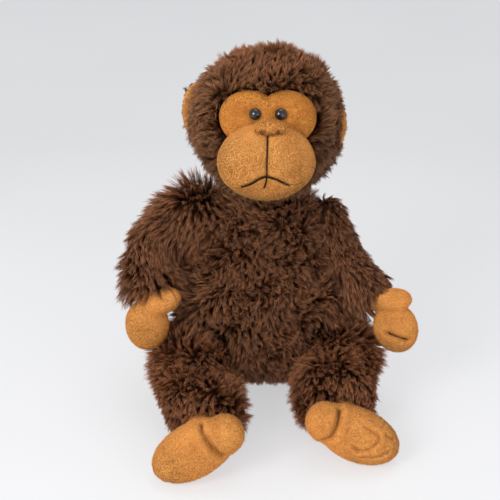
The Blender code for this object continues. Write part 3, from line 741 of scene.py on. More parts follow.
# ---------------------------------------------------------------- strands
def strand_template(rings):
    """Faces of one three-sided strand, and for each corner its side and how far up it is."""
    tip = 3 * len(rings)
    faces = [(2, 1, 0)]
    for r in range(len(rings) - 1):
        for s in range(3):
            a, b = 3 * r + s, 3 * r + (s + 1) % 3
            faces += [(a, b, b + 3), (a, b + 3, a + 3)]
    for s in range(3):
        a, b = tip - 3 + s, tip - 3 + (s + 1) % 3
        faces.append((a, b, tip))
    faces = np.array(faces)
    side = np.append(np.tile(np.arange(3), len(rings)), 1)
    height = np.append(np.repeat(rings, 3), 1.0)
    return faces, side, height


def strands(name, roots, middles, tips, radii, tints, rings=STRAND_RINGS, sizes=RING_SIZES, swing=None):
    """Three-sided tapering strands, each bent from its root by its middle to its tip."""
    count = len(roots)
    faces, side, height = strand_template(rings)
    per = 3 * len(rings) + 1
    points = np.empty((count, per, 3))
    around = unit(np.cross(tips - roots, np.array([0.31, 0.52, 0.79])))
    for i, t in enumerate(rings):
        centre = (1 - t) ** 2 * roots + 2 * (1 - t) * t * middles + t * t * tips
        if swing is not None:
            centre = centre + swing * math.sin(2.2 * math.pi * t)
        way = unit(2 * (1 - t) * (middles - roots) + 2 * t * (tips - middles))
        first = unit(around - way * (around * way).sum(axis=1, keepdims=True))
        second = np.cross(way, first)
        for s in range(3):
            a = 2 * math.pi * s / 3
            spoke = math.cos(a) * first + math.sin(a) * second
            points[:, 3 * i + s] = centre + spoke * (radii * sizes[i])[:, None]
    points[:, -1] = tips
    points[:, :, 2] = np.maximum(points[:, :, 2], 0.3 * MM)
    all_faces = (faces[None] + (np.arange(count) * per)[:, None, None]).reshape(-1, 3)
    item = mesh_object(name, points.reshape(-1, 3), all_faces)
    corner = faces.ravel()
    across = 0.02 + 0.96 * tints[:, None] + 0.012 * (side[corner] - 1)[None]
    up = np.broadcast_to(0.01 + 0.98 * height[corner], across.shape)
    layer = item.data.uv_layers.new(name="OFBake")
    layer.data.foreach_set("uv", np.stack([across, up], axis=2).astype(np.float32).ravel())
    return item


def laid_down(spots, ways, lengths, splay):
    """The ways of locks that would go through the floor, turned to lie along it, outwards."""
    room = np.maximum(spots[:, 2] - FLOOR_PILE * MM, 0.0)
    deep = -ways[:, 2] * lengths > room
    flat = np.where(deep[:, None], splay, 0.0)[:, :2] + ways[:, :2]
    flat = flat / np.maximum(np.linalg.norm(flat, axis=1, keepdims=True), 1e-9)
    drop = np.clip(room / lengths, 0, 1)
    made = ways.copy()
    made[deep, 2] = -drop[deep]
    made[deep, :2] = flat[deep] * np.sqrt(1 - drop[deep] ** 2)[:, None]
    return made


def locks(name, body, look, spots, normals, combs, lengths, rng, curl, painted_light=0.0, splay=0.0):
    """Pointed locks of fur: a few strands that start apart and meet near one tip."""
    count, k = len(spots), STRANDS_IN_LOCK
    side_a = unit(np.cross(normals, np.array([0.42, 0.17, 0.89])))
    side_b = np.cross(normals, side_a)
    ways = laid_down(spots, unit(normals + combs), lengths, np.broadcast_to(splay, spots.shape))
    tips = spots + ways * lengths[:, None]
    middles = spots + normals * (0.46 * lengths[:, None]) + combs * (0.10 * lengths[:, None])
    angle = rng.random((count, k)) * 2 * math.pi
    reach = LOCK_SPREAD * MM * np.sqrt(rng.random((count, k)))
    aside = side_a[:, None] * (reach * np.cos(angle))[..., None]
    aside = aside + side_b[:, None] * (reach * np.sin(angle))[..., None]
    roots = spots[:, None] + aside - normals[:, None] * ROOT_DEPTH * MM
    mids = middles[:, None] + aside * 0.95 + rng.normal(size=(count, k, 3)) * 0.4 * MM
    short = rng.random((count, k)) ** 2 * SHORTEST
    ends = tips[:, None] + aside * TIP_SPREAD + rng.normal(size=(count, k, 3)) * 0.6 * MM
    ends = ends - (ways * lengths[:, None])[:, None] * short[..., None]
    # the tint carries random variation and the painted light and shade passed in
    tint = 0.5 + painted_light + LOCK_TINT * rng.normal(size=count)
    tints = np.clip(tint[:, None] + STRAND_TINT * rng.normal(size=(count, k)), 0, 1)
    radii = STRAND_RADIUS * MM * (0.8 + 0.4 * rng.random((count, k)))
    swing = unit(rng.normal(size=(count, 3))) * (curl * MM * rng.random((count, 1)))
    swings = np.broadcast_to(swing[:, None], (count, k, 3))
    made = []
    pieces = max(1, math.ceil(count * k / MOST_STRANDS))
    order = np.argsort(spots[:, 1] if pieces > 1 else np.arange(count), kind="stable")
    for i, part in enumerate(np.array_split(order, pieces)):
        flat = [x[part].reshape(-1, 3) for x in (roots, mids, ends, swings)]
        label = name if pieces == 1 else f"{name}_{i + 1}"
        item = strands(label, *flat[:3], radii[part].ravel(), tints[part].ravel(), swing=flat[3])
        made.append(dress(item, look, body, "fur"))
    return made


def tangent(ways, normals):
    return ways - normals * (ways * normals).sum(axis=1, keepdims=True)


def pile(name, item, look, body, comb=(0, 0, -0.5), skip=None, dark=None, painted_light=0.0, size=PILE_SIZE):
    """Short plush fibres all over a finished piece, leaning one way with brushed patches, darkened by
    painted shade where `dark` marks creases and seams, and made paler or darker by the painted light
    passed in.
    """
    spacing, length = size
    rng = np.random.default_rng(SEED + len(name))
    spots, normals = scatter(surface_of(item), spacing, rng)
    if skip is not None:
        keep = ~skip(spots)
        spots, normals = spots[keep], normals[keep]
    along = comb(spots) if callable(comb) else np.broadcast_to(np.array(comb, float), spots.shape)
    lean = tangent(along, normals) + tangent(0.45 * wander(spots, 9.0, SEED + 3), normals)
    lean = lean + 0.25 * rng.normal(size=spots.shape)
    long = length * MM * (0.75 + 0.5 * rng.random(len(spots)))[:, None]
    tips = spots + unit(normals + lean) * long
    middles = spots + normals * long * 0.5
    brushed_and_painted_light = 0.5 + painted_light + 0.16 * wander(spots, 14.0, SEED + 5)[:, 0]
    brushed_and_painted_light = brushed_and_painted_light + 0.17 * rng.normal(size=len(spots))
    # painted shade: fibres darkened where `dark` marks a crease, seam or hollow
    if dark is not None:
        brushed_and_painted_light = brushed_and_painted_light - 0.9 * dark(spots)
    radii = PILE_RADIUS * MM * (0.8 + 0.4 * rng.random(len(spots)))
    roots = spots - normals * 0.25 * MM
    made = strands(name, roots, middles, tips, radii, np.clip(brushed_and_painted_light, 0, 1), (0.0,), (1.0,))
    return dress(made, look, body, "minky")


# ---------------------------------------------------------------- fur parts
def finer_copy(node, ending, cuts, rounds):
    """The CAD piece with its faces cut smaller and its surface evened out."""
    item = mesh_object(node + ending, *cad_surface(node))
    bm = bmesh.new()
    bm.from_mesh(item.data)
    bmesh.ops.subdivide_edges(bm, edges=bm.edges, cuts=cuts, use_grid_fill=True)
    every_way = {"use_axis_x": True, "use_axis_y": True, "use_axis_z": True}
    for _ in range(rounds):
        bmesh.ops.smooth_vert(bm, verts=bm.verts, factor=0.4, **every_way)
    bm.to_mesh(item.data)
    bm.free()
    item.data.polygons.foreach_set("use_smooth", np.full(len(item.data.polygons), True))
    return item


def under_skin(node, body):
    """The fur's woven ground."""
    return dress(finer_copy(node, "_ground", 1, 3), "backing", body, "fur", node)


def hull_tree(node):
    bm = bmesh.new()
    for p in cad_surface(node)[0]:
        bm.verts.new(p)
    made = bmesh.ops.convex_hull(bm, input=bm.verts)
    inner = [v for v in made["geom_interior"] if isinstance(v, bmesh.types.BMVert)]
    bmesh.ops.delete(bm, geom=inner, context="VERTS")
    bmesh.ops.recalc_face_normals(bm, faces=bm.faces)
    tree = BVHTree.FromBMesh(bm)
    bm.free()
    return tree


def outside(tree, spots):
    """How far outside the closed shape each spot is; below zero inside."""
    made = np.empty(len(spots))
    for i, spot in enumerate(spots):
        near, way, _, far = tree.find_nearest(Vector(spot))
        made[i] = far if (Vector(spot) - near).dot(way) > 0 else -far
    return made


def head_fur():
    rng = np.random.default_rng(SEED + 11)
    under_skin("head_shell", "head")
    spots, normals = scatter(outer_surface("head_shell", "head_filling"), LOCK_SPACING, rng)
    local = in_head(spots)
    in_muzzle = np.linalg.norm((local - MUZZLE_MIDDLE) / MUZZLE_RADII, axis=1) < 1.0
    keep = ~in_muzzle
    spots, normals, local = spots[keep], normals[keep], local[keep]
    facing = np.clip(-unit(local)[:, 1], 0, 1)
    behind = np.clip(unit(local)[:, 1], 0, 1)
    sideways = np.abs(unit(local)[:, 0])
    crown = smooth_step(local[:, 2], 20, 45)
    flat = local * [1, 0, 1] - np.array([0.0, 0.0, 4.0])
    outward = turn_from_head(unit(flat * [1, 0, 1]))
    down = np.array([0, 0, -1.0])
    combs = outward * (0.75 * facing)[:, None]
    combs = combs + down * (0.55 * sideways * (1 - crown) + 0.7 * behind * (1 - crown))[:, None]
    combs = combs + 0.70 * wander(spots, 9.0, SEED + 21) + 0.32 * rng.normal(size=spots.shape)
    combs = tangent(combs, normals)
    tufts = 1.0 + 0.30 * wander(spots, 6.0, SEED + 25)[:, 0]
    jaw = smooth_step(-local[:, 2], -2, 22)
    by_ear = np.zeros(len(spots))
    for x, cut in ((53.0, 7.0), (-53.0, -1.0)):
        by_ear += cut * bell(away(local, [x, 0, 0]), 19.0)
    lengths = 9.4 - 0.6 * crown - 0.6 * jaw + 2.0 * behind - by_ear
    lengths = MM * (lengths * tufts + 1.5 * rng.normal(size=len(spots)).clip(-1.5, 1.7))
    by_face = bell(np.abs(local[:, 0]), 12, 38) * facing
    # painted light and shade: the crown paler; the jaw, the fur beside the face and the sides darker
    painted_light = 0.12 * crown - 0.34 * jaw - 0.26 * by_face - 0.12 * sideways
    locks("head_fur", "head", "head_fur", spots, normals, combs, lengths, rng, 0.9, painted_light)


def body_fur():
    rng = np.random.default_rng(SEED + 12)
    under_skin("torso_shell", "torso")
    skin = outer_surface("torso_shell", "torso_filling", "seat_pellet_bag")
    spots, normals = scatter(skin, LOCK_SPACING, rng)
    keep = spots[:, 2] > 1.5 * MM
    for limb in LIMB_FUR:
        keep[keep] = outside(hull_tree(f"{limb}_shell"), spots[keep]) > -2.0 * MM
    spots, normals = spots[keep], normals[keep]
    x, _, z = spots.T / MM
    aside = np.abs(x)
    low = 1 - smooth_step(z, 30, 80)
    high = smooth_step(z, 145, 165)
    combs = np.array([0, 0, -1.0]) * (0.30 + 0.45 * low)[:, None]
    combs = combs + np.array([0, 0, 0.8]) * high[:, None]
    combs = combs + 0.48 * wander(spots, 8.0, SEED + 22) + 0.4 * rng.normal(size=spots.shape)
    combs = tangent(combs, normals)
    flank = smooth_step(aside, 25, 45) * smooth_step(z, 45, 65)
    hip = np.zeros(len(spots))
    for side in ("left", "right"):
        far = away(spots, joint_anchor(f"{side}_hip_swing")) / MM
        hip = np.maximum(hip, 1 - smooth_step(far, 30, 42))
    side_hip = smooth_step(aside, 30, 52) * low
    between = (1 - smooth_step(aside, 18, 34)) * (1 - smooth_step(z, 8, 34))
    by_neck = np.where(x < 0, 8.0, 3.0) * high
    lengths = 11.0 + 2.0 * low + 4.0 * flank + 4.0 * hip + by_neck + 7.0 * side_hip - 7.5 * between
    lengths = lengths + fuller(spots)
    lengths = MM * (lengths + 2.0 * rng.normal(size=len(spots)).clip(-1.5, 1.5))
    locks("body_fur", "torso", "fur", spots, normals, combs, lengths, rng, 1.3)


def fuller(spots):
    """Extra length, in millimetres, where the fur of the body and of an arm meet."""
    made = np.zeros(len(spots))
    for place, reach, more in FULLER:
        made += more * bell(away(spots / MM, place), reach)
    return made


def limb_fur(side, word, hull):
    """Locks combed towards the hand or foot, and hanging down from the shoulder."""
    rng = np.random.default_rng(SEED + 13 + len(side) + 3 * len(word))
    body = f"{side}_{word}"
    length, flat, inner = LIMB_FUR[body]
    start_joint, end_joint = (f"{side}_{joint}" for joint in LIMB_JOINTS[word])
    start, end = joint_anchor(start_joint), joint_anchor(end_joint)
    fillings = f"{body}_filling", start_joint.rsplit("_", 1)[0] + "_filling"
    under_skin(f"{body}_shell", body)
    spots, normals = scatter(outer_surface(f"{body}_shell", *fillings), LOCK_SPACING, rng)
    clear = outside(hull, spots)
    keep = clear > -LIMB_INTO_BODY[word] * MM
    spots, normals, clear = spots[keep], normals[keep], clear[keep]
    x, y, z = spots.T / MM
    along = tangent(unit(end - spots), normals)
    if word == "arm":
        upper = 1 - smooth_step(away(spots, start), 20 * MM, 45 * MM)
        hang = unit(np.array([0.25 * (end - start)[0], 0, -abs((end - start)[0])]))
        along = unit(tangent(along + 1.5 * upper[:, None] * hang, normals))
    past = away(spots, end) < 16 * MM
    along[past] = tangent(np.broadcast_to(unit(end - start), spots.shape), normals)[past]
    outward = np.sign(x) * normals[:, 0]
    facing, outer = np.clip(-outward, 0, 1), np.clip(outward, 0, 1)
    combs = unit(along) * (flat * (1 - 0.6 * facing))[:, None]
    combs = combs + np.array([0, 0, -0.2]) + 0.45 * wander(spots, 10.0, SEED + 23)
    combs = tangent(combs + 0.22 * rng.normal(size=spots.shape), normals)
    lengths = length + inner * facing + 1.8 * rng.normal(size=len(spots)).clip(-1.5, 1.5)
    splay = np.zeros_like(spots)
    if word == "leg":
        at_foot = 1 - smooth_step(away(spots, end), 30 * MM, 72 * MM)
        high = smooth_step(z, 26, 44)
        lengths = lengths + (1 - at_foot) * (9.0 * high - 3.0) * outer
        lengths = lengths - at_foot * ANKLE_TAPER[side] * outer - 4.0 * facing * (1 - at_foot)
        lengths = lengths + at_foot * 3.0 * facing * (1 - smooth_step(z, 10, 35))
        combs = combs * (1 - 0.5 * outer * (1 - at_foot))[:, None]
        middle = start + (end - start) * ((y * MM - start[1]) / (end - start)[1])[:, None]
        splay[:, 0] = 1.4 * np.sign(x * MM - middle[:, 0])
    elif side == "right":
        by_neck = 1 - smooth_step(np.abs(x), 56, 76)
        lengths = lengths + (1.0 + 10.0 * by_neck) * np.clip(normals[:, 2], 0, 1) * upper
    lengths = lengths + fuller(spots)
    lengths = MM * np.maximum(lengths, 3.0) * (0.55 + 0.45 * smooth_step(clear, 0, 6 * MM))
    grown = spots, normals, combs, lengths, rng
    locks(f"{body}_fur", body, "fur", *grown, 0.9, painted_light=LIMB_PAINTED_LIGHT[word], splay=splay)


def ear_fur(side):
    """Fur on the back of the ear only, kept short of its rim."""
    rng = np.random.default_rng(SEED + 17 + len(side))
    node = f"{side}_ear_back"
    body = f"{side}_ear"
    under_skin(node, body)
    spots, normals = scatter(outer_surface(node), LOCK_SPACING, rng)
    aside = np.sign(spots[:, 0].min() + spots[:, 0].max())
    keep = (normals[:, 1] > 0.3) & (across_ear(spots, spots) < 0.86)
    spots, normals = spots[keep], normals[keep]
    combs = np.array([-0.7 * aside, 0, -0.8]) + 0.4 * rng.normal(size=spots.shape)
    lengths = MM * (5.0 + 1.5 * rng.random(len(spots)))
    combs = tangent(combs, normals)
    locks(f"{side}_ear_fur", body, "fur", spots, normals, combs, lengths, rng, 0.5)


# ---------------------------------------------------------------- face
def plush_piece(name, points, faces, shade, body, node, look="plush"):
    item = mesh_object(name, points, faces)
    set_shade(item, shade)
    return dress(item, look, body, "minky", node)


def muzzle():
    """Two full cheeks with a seam between them, a mouth fold and a chin tucked in under it."""
    ways, tris = icosphere(7)
    spots = MUZZLE_MIDDLE + ways * MUZZLE_RADII
    normals = unit(ways / MUZZLE_RADII)
    flat = spots[:, [0, 2]]
    front = smooth_step(-normals[:, 1], 0.0, 0.4)
    seam = to_polyline(flat, rounded(MUZZLE_SEAM))
    mouth_line = rounded(MOUTH)
    mouth = to_polyline(flat, mouth_line)
    mouth_height = np.interp(spots[:, 0], mouth_line[:, 0], mouth_line[:, 1])
    under = smooth_step(mouth_height - spots[:, 2], 0.0, 4.0)
    cheek = np.exp(-((np.abs(spots[:, 0]) - 16) ** 2 + (spots[:, 2] + 17) ** 2) / (2 * 10.0**2))
    rise = 1.3 * cheek
    rise -= front * (1.5 * bell(seam, 5.5) + 1.1 * bell(seam, 1.2))
    rise -= front * 1.9 * bell(mouth, 1.7)
    rise -= front * under * 1.6
    rise -= front * 0.9 * bell(to_polyline(flat, MOUTH_FOLD), 1.3)
    spots = spots + normals * rise[:, None]
    inside = np.linalg.norm(spots / HEAD_RADII, axis=1)
    spots = np.where((inside < 1.03)[:, None], spots / inside[:, None] * 1.03, spots)
    # painted shade: darker in the seam and the mouth line, and a little under the mouth
    shade = front * (0.55 * bell(seam, 1.0) + 0.7 * bell(mouth, 1.3))
    shade = shade + 0.05 * front * under
    item = plush_piece("muzzle", from_head(spots), tris, shade, "head", "muzzle_shell")

    # painted shade for the pile: the seam, the mouth, its fold and under the mouth darkened
    def dark(at):
        here = in_head(at)[:, [0, 2]]
        lines = 0.5 * bell(to_polyline(here, rounded(MUZZLE_SEAM)), 1.1)
        lines = lines + 0.6 * bell(to_polyline(here, mouth_line), 1.3)
        lines = lines + 0.45 * bell(to_polyline(here, MOUTH_FOLD), 0.9)
        height = np.interp(here[:, 0], mouth_line[:, 0], mouth_line[:, 1])
        return lines + 0.08 * smooth_step(height - here[:, 1], 0.0, 3.0)

    def comb(at):
        here = in_head(at)
        high = smooth_step(here[:, 2], -24, -6)
        way = np.stack([0.02 * here[:, 0], np.zeros(len(at)), -0.15 - 1.3 * high], axis=1)
        return turn_from_head(way)

    def skip(at):
        return against_head(at, 1.5)

    pile("muzzle_pile", item, "pile", "head", comb=comb, skip=skip, dark=dark)
    return item


def against_head(spots, margin):
    """Which spots lie against the head's own oval."""
    return np.linalg.norm(in_head(spots) / (HEAD_RADII + margin), axis=1) < 1.0


def seen_from_front(points, place):
    """How far each point is from an (x, z) place, as seen from straight in front."""
    return np.hypot(points[:, 0] - place[0], points[:, 2] - place[1])


def brow_edge(angle):
    """How far the two-lobed brow reaches from its middle in each direction."""
    wide, high = BROW_RADII
    best = np.zeros_like(angle)
    for lobe in (BROW_LOBE_X, -BROW_LOBE_X):
        a = (np.cos(angle) / wide) ** 2 + (np.sin(angle) / high) ** 2
        b = -2 * np.cos(angle) * lobe / wide**2
        c = (lobe / wide) ** 2 - 1
        best = np.maximum(best, (-b + np.sqrt(np.maximum(b * b - 4 * a * c, 0))) / (2 * a))
    return best


def brow():
    """A padded panel of two lobes over the eyes, with its edge turned in under the fur."""
    around, across = 260, 64
    angle = np.arange(around) * 2 * math.pi / around
    edge = brow_edge(angle) + BROW_HEM
    share = np.linspace(0.0, 1.0, across + 1)[1:] ** 0.9
    x = np.outer(share, edge * np.cos(angle))
    z = BROW_Z + np.outer(share, edge * np.sin(angle))
    puff = BROW_PUFF * (1 - share**5)[:, None] - 4.2 * (share**16)[:, None]
    rise = BROW_PROUD + puff * np.ones_like(x)
    rise = rise - 1.1 * bell(x, 2.6) * smooth_step(z, 8.0, 28.0)
    for eye_x, eye_z in EYE_PLACES:
        far = np.hypot(x - eye_x, z - eye_z)
        rise = rise - 2.3 * bell(far, 6.0) + 0.5 * bell(far, 3.0, 9.0)
    front = on_head(x, z, rise).reshape(-1, 3)
    back = on_head(x, z, rise - BROW_THICK).reshape(-1, 3)
    middle_rise = BROW_PROUD + BROW_PUFF
    poles = on_head([0.0, 0.0], [BROW_Z] * 2, np.array([middle_rise, middle_rise - BROW_THICK]))
    points = np.concatenate([front, back, poles])
    rows = np.arange(around * across).reshape(across, around)
    turned = np.roll(rows, -1, axis=1)
    tris = []
    for offset, flip in ((0, False), (around * across, True)):
        here, after = rows + offset, turned + offset
        pole = np.full(around, 2 * around * across + int(flip))
        fan = np.stack([pole, here[0], after[0]], -1)
        part = np.concatenate([*halves(here[:-1], here[1:], after[1:], after[:-1]), fan])
        tris.append(part[:, ::-1] if flip else part)
    shift = around * across
    tris += halves(rows[-1], rows[-1] + shift, turned[-1] + shift, turned[-1])
    tris = np.concatenate(tris)
    if faces_inward(points, tris):
        tris = tris[:, ::-1]
    # painted shade: a dark ring round each eye
    shade = np.zeros(len(points))
    for place in EYE_PLACES:
        far = seen_from_front(points, place)
        shade = np.maximum(shade, 0.4 * bell(far, 1.6, 4.0))
    spots = from_head(points)
    item = plush_piece("brow_panel", spots, tris, shade, "head", "face_panel", "brow_plush")

    def skip(at):
        here = in_head(at)
        bare = here[:, 1] > -8
        for place in EYE_PLACES:
            bare |= seen_from_front(here, place) < EYE_RADIUS
        return bare | against_head(at, 0.8)

    # painted shade for the pile: darker where the brow meets the muzzle
    def dark(at):
        here = in_head(at)
        far = np.linalg.norm((here - MUZZLE_MIDDLE) / MUZZLE_RADII, axis=1)
        return 0.35 * bell(far, 0.08, 1.0)

    pile("brow_pile", item, "brow_pile", "head", comb=(0, 0, 0.5), skip=skip, dark=dark)


def faces_inward(points, tris):
    a, b, c = points[tris[:, 0]], points[tris[:, 1]], points[tris[:, 2]]
    return (a * np.cross(b, c)).sum() < 0


def nose():
    """A small flat pad with two nostril pinches at its lower edge."""
    ways, tris = icosphere(5)
    spots = ways * NOSE_RADII
    normals = unit(ways / NOSE_RADII)
    low_front = smooth_step(-ways[:, 1], 0.0, 0.5)
    rise = np.zeros(len(spots))
    # painted shade: darker in the nostril pinches and along the pad's lower edge
    shade = np.zeros(len(spots))
    for place in NOSTRILS:
        dent = bell(seen_from_front(spots, place), 1.9) * low_front
        rise -= 1.9 * dent
        shade = np.maximum(shade, 0.85 * dent)
    rise -= 0.9 * bell(spots[:, 0], 2.0) * smooth_step(-spots[:, 2], 0.5, 3.5)
    edge = smooth_step(-spots[:, 2], 3.0, 4.6)
    shade = np.maximum(shade, 0.6 * edge)
    spots = from_head(NOSE_MIDDLE + spots + normals * rise[:, None])
    item = plush_piece("nose", spots, tris, shade, "head", "nose_pad")

    # painted shade on the pile: darker along the lower edge and in the nostrils
    def dark(at):
        here = in_head(at) - NOSE_MIDDLE
        lower = 0.55 * smooth_step(-here[:, 2], 2.4, 4.6)
        for place in NOSTRILS:
            lower = np.maximum(lower, 0.8 * bell(seen_from_front(here, place), 1.8))
        return lower

    pile("nose_pile", item, "pile", "head", comb=(0, 0, -0.2), dark=dark, size=NOSE_PILE_SIZE)


def eyes():
    for side in ("left", "right"):
        local = in_head(cad_surface(f"{side}_eye")[0])
        way = unit(local.mean(axis=0) / HEAD_RADII**2)
        middle = local[np.argmax(local @ way)] - way * 3.7
        rise = EYE_RISE * EYE_RADIUS
        profile = [(0.0, -SHANK_LENGTH), (SHANK_RADIUS, -SHANK_LENGTH), (SHANK_RADIUS, -0.3)]
        profile += [(EYE_RADIUS - 0.4, -0.3), (EYE_RADIUS, 0.1)]
        for degrees in range(8, 90, 8):
            a = math.radians(degrees)
            profile.append((EYE_RADIUS * math.cos(a), 0.3 + rise * math.sin(a)))
        profile.append((0.0, 0.3 + rise))
        points, tris = lathed(profile, 40)
        turn = np.array(Vector((0, 0, 1)).rotation_difference(Vector(way)).to_matrix())
        item = mesh_object(f"{side}_button_eye", from_head(middle + points @ turn.T), tris)
        dress(item, "eye", "head", "eye_plastic", f"{side}_eye")


def lathed(profile, sides):
    """(points, triangles) of a profile turned about Z, with a pole at each end."""
    angle = np.arange(sides) * 2 * math.pi / sides
    rows = []
    for r, h in profile[1:-1]:
        rows.append(np.stack([r * np.cos(angle), r * np.sin(angle), np.full(sides, h)], -1))
    points = np.concatenate([[[0, 0, profile[0][1]]], *rows, [[0, 0, profile[-1][1]]]])
    index = 1 + np.arange(sides * len(rows)).reshape(len(rows), sides)
    return points, sleeve(index, 0, len(points) - 1)


def twisted_thread(name, line, radius, body, node):
    """Two plies wound round each other along a line of world points."""
    line = np.asarray(line, float)
    steps = np.linalg.norm(np.diff(line, axis=0), axis=1)
    at = np.append(0, np.cumsum(steps))
    fine = np.arange(0, at[-1], 0.22 * MM)
    path = np.stack([np.interp(fine, at, line[:, i]) for i in range(3)], -1)
    way = unit(np.gradient(path, axis=0))
    first = unit(np.cross(way, np.array([0.1, 0.2, 0.97])))
    second = np.cross(way, first)
    ply = radius * 0.62 * MM
    taper = np.minimum(1.0, 0.35 + np.minimum(fine, at[-1] - fine) / (1.5 * MM))
    parts = []
    for turn in (0.0, math.pi):
        a = turn + 2 * math.pi * fine / (THREAD_PITCH * MM)
        spoke = first * np.cos(a)[:, None] + second * np.sin(a)[:, None]
        centre = path + spoke * (0.42 * radius * MM)
        parts.append(tube(centre, first, second, ply * taper, 6))
    points, tris = joined(*parts)
    item = mesh_object(name, points, tris)
    return dress(item, "thread", body, "dark_thread", node)


def tube(path, first, second, radii, sides):
    angle = np.arange(sides) * 2 * math.pi / sides
    ring = first[:, None] * np.cos(angle)[None, :, None]
    ring = ring + second[:, None] * np.sin(angle)[None, :, None]
    points = (path[:, None] + ring * radii[:, None, None]).reshape(-1, 3)
    tris = sleeve(np.arange(len(points)).reshape(len(path), sides), len(points), len(points) + 1)
    return np.concatenate([points, path[:1], path[-1:]]), tris


def laid_on(item, spots, way, out):
    """The spots moved along `way` until they rest on the piece, then raised by `out`."""
    points, tris, _ = surface_of(item)
    return dropped(tree_of(points, tris), spots, way, out)


def dropped(tree, spots, way, out=0.0):
    made = []
    for spot in spots:
        hit, normal, _, _ = tree.ray_cast(Vector(spot - way * 0.08), Vector(way))
        if hit is not None:
            made.append(np.array(hit) + np.array(normal) * out * MM)
    return np.array(made)


def face_threads(cheeks):
    into_face = turn_from_head([0, 1.0, 0])
    rows = (
        ("muzzle_seam", MUZZLE_SEAM, 0.5, "muzzle_seam_thread"),
        ("mouth_line", MOUTH, 0.8, "mouth_thread"),
        ("lip_line", LIP_TICK, 0.7, "lip_thread"),
    )
    for name, line, radius, node in rows:
        flat = rounded(line, 10)
        start = from_head(np.stack([flat[:, 0], np.full(len(flat), -85.0), flat[:, 1]], -1))
        twisted_thread(name, laid_on(cheeks, start, into_face, 0.35), radius, "head", node)


def ear_lining(side):
    """A cupped disc of plush whose rim is rolled."""
    node = f"{side}_ear_lining"
    body = f"{side}_ear"
    points, tris = remeshed(*cad_surface(node), EAR_VOXEL)
    points = relaxed(points, tris, EAR_ROUNDS)
    item = mesh_object(f"{side}_ear_front", points, tris)
    reach = across_ear(points, points)
    normals = vertex_normals(points, tris)
    cup = bell(reach, 0.6) * smooth_step(-normals[:, 1], 0.2, 0.8)
    move_points(item, points - normals * (0.7 * MM * cup)[:, None])
    # painted shade: darker in the hollow of the cup
    set_shade(item, 0.35 * cup)
    dress(item, "plush", body, "minky", node)
    pile(f"{side}_ear_pile", item, "pile", body)


def across_ear(spots, points):
    """How far each spot is from the middle of the ear's outline, which is at 1."""
    low, high = points.min(axis=0), points.max(axis=0)
    middle, half = (low + high) / 2, (high - low) / 2
    return np.hypot((spots[:, 0] - middle[0]) / half[0], (spots[:, 2] - middle[2]) / half[2])


# ---------------------------------------------------------------- hands and feet
def paw(side, word, creases, comb):
    """A stuffed hand or foot: one soft skin over the CAD shape, pulled in along its creases, with
    painted shade in them.
    """
    node = f"{side}_{word}_shell"
    body = f"{side}_{word}"
    plug = ball(joint_anchor(f"{side}_{PAW_JOINT[word]}"), PAW_PLUG[word])
    solid = joined(cad_surface(node), cad_surface(f"{body}_filling"), plug)
    points, quads = remeshed(*solid, PAW_VOXEL)
    points = relaxed(points, quads, PAW_ROUNDS)
    normals = vertex_normals(points, quads)
    shade = np.zeros(len(points))
    tree = tree_of(points, quads)
    creases = [(dropped(tree, line, way), width, depth) for line, way, width, depth in creases]
    for line, width, depth in creases:
        far = to_polyline(points, line) / MM
        cut = bell(far, width)
        lip = 0.3 * bell(far, 1.4 * width, 2.4 * width)
        points = points - normals * (depth * MM * (cut - lip))[:, None]
        # painted shade: darker along each crease
        shade = np.maximum(shade, min(0.8, 0.4 * depth) * bell(far, 0.6 * width))
    if word == "foot":
        points = plumper(points, *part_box(node))
    points[:, 2] = np.maximum(points[:, 2], 0.6 * MM)
    item = plush_piece(f"{body}_plush", points, quads, shade, body, node)

    # painted shade for the pile: darker along each crease
    def dark(at):
        made = np.zeros(len(at))
        for line, width, depth in creases:
            far = to_polyline(at, line) / MM
            made = np.maximum(made, min(0.8, 0.35 * depth) * bell(far, 0.7 * width))
        return made

    pile(f"{side}_{word}_pile", item, "pile", body, comb=comb, dark=dark, painted_light=PAW_PAINTED_LIGHT[word])
    return item


def plumper(points, low, high):
    """A foot filled out forwards and a little sideways, from the back of its pad."""
    middle = (np.array(low) + np.array(high)) / 2
    made = points.copy()
    back = low.y + 27 * MM
    ahead = np.maximum(back - points[:, 1], 0)
    made[:, 1] -= (FOOT_PLUMP[0] - 1) * ahead
    made[:, 0] = middle[0] + (points[:, 0] - middle[0]) * FOOT_PLUMP[1]
    return made


def foot(side):
    """The sole faces forward and the toe lobe folds away from the pad."""
    low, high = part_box(f"{side}_foot_shell")
    middle = np.array((low + high) / 2)
    lean = Matrix.Rotation(-FOOT_LEAN, 3, "X")
    turn = np.array(lean @ Matrix.Rotation(math.radians(-FOOT_TURN[side]), 3, "Y"))
    into = turn @ np.array([0, 1.0, 0])
    folds = []
    for width, depth, line in FOOT_FOLDS[side]:
        flat = rounded([(u, -FOOT_FRONT, w) for u, w in line], 6)
        folds.append((middle + flat * MM @ turn.T, into, width, depth))
    return paw(side, "foot", folds, (0.2, 0, -0.3))


def hand(side):
    points = cad_surface(f"{side}_finger_stitch")[0]
    ends = points[np.argmin(points[:, 0])], points[np.argmax(points[:, 0])]
    line = np.linspace(*ends, 9)
    into = np.array([0, 1.0, 0])
    depth, radius, proud = HAND_LINE[side]
    made = paw(side, "hand", [(line, into, 2.2, depth)], (0, 0, -0.5))
    laid = laid_on(made, line, into, proud)
    twisted_thread(f"{side}_finger_line", laid, radius, f"{side}_hand", f"{side}_finger_stitch")


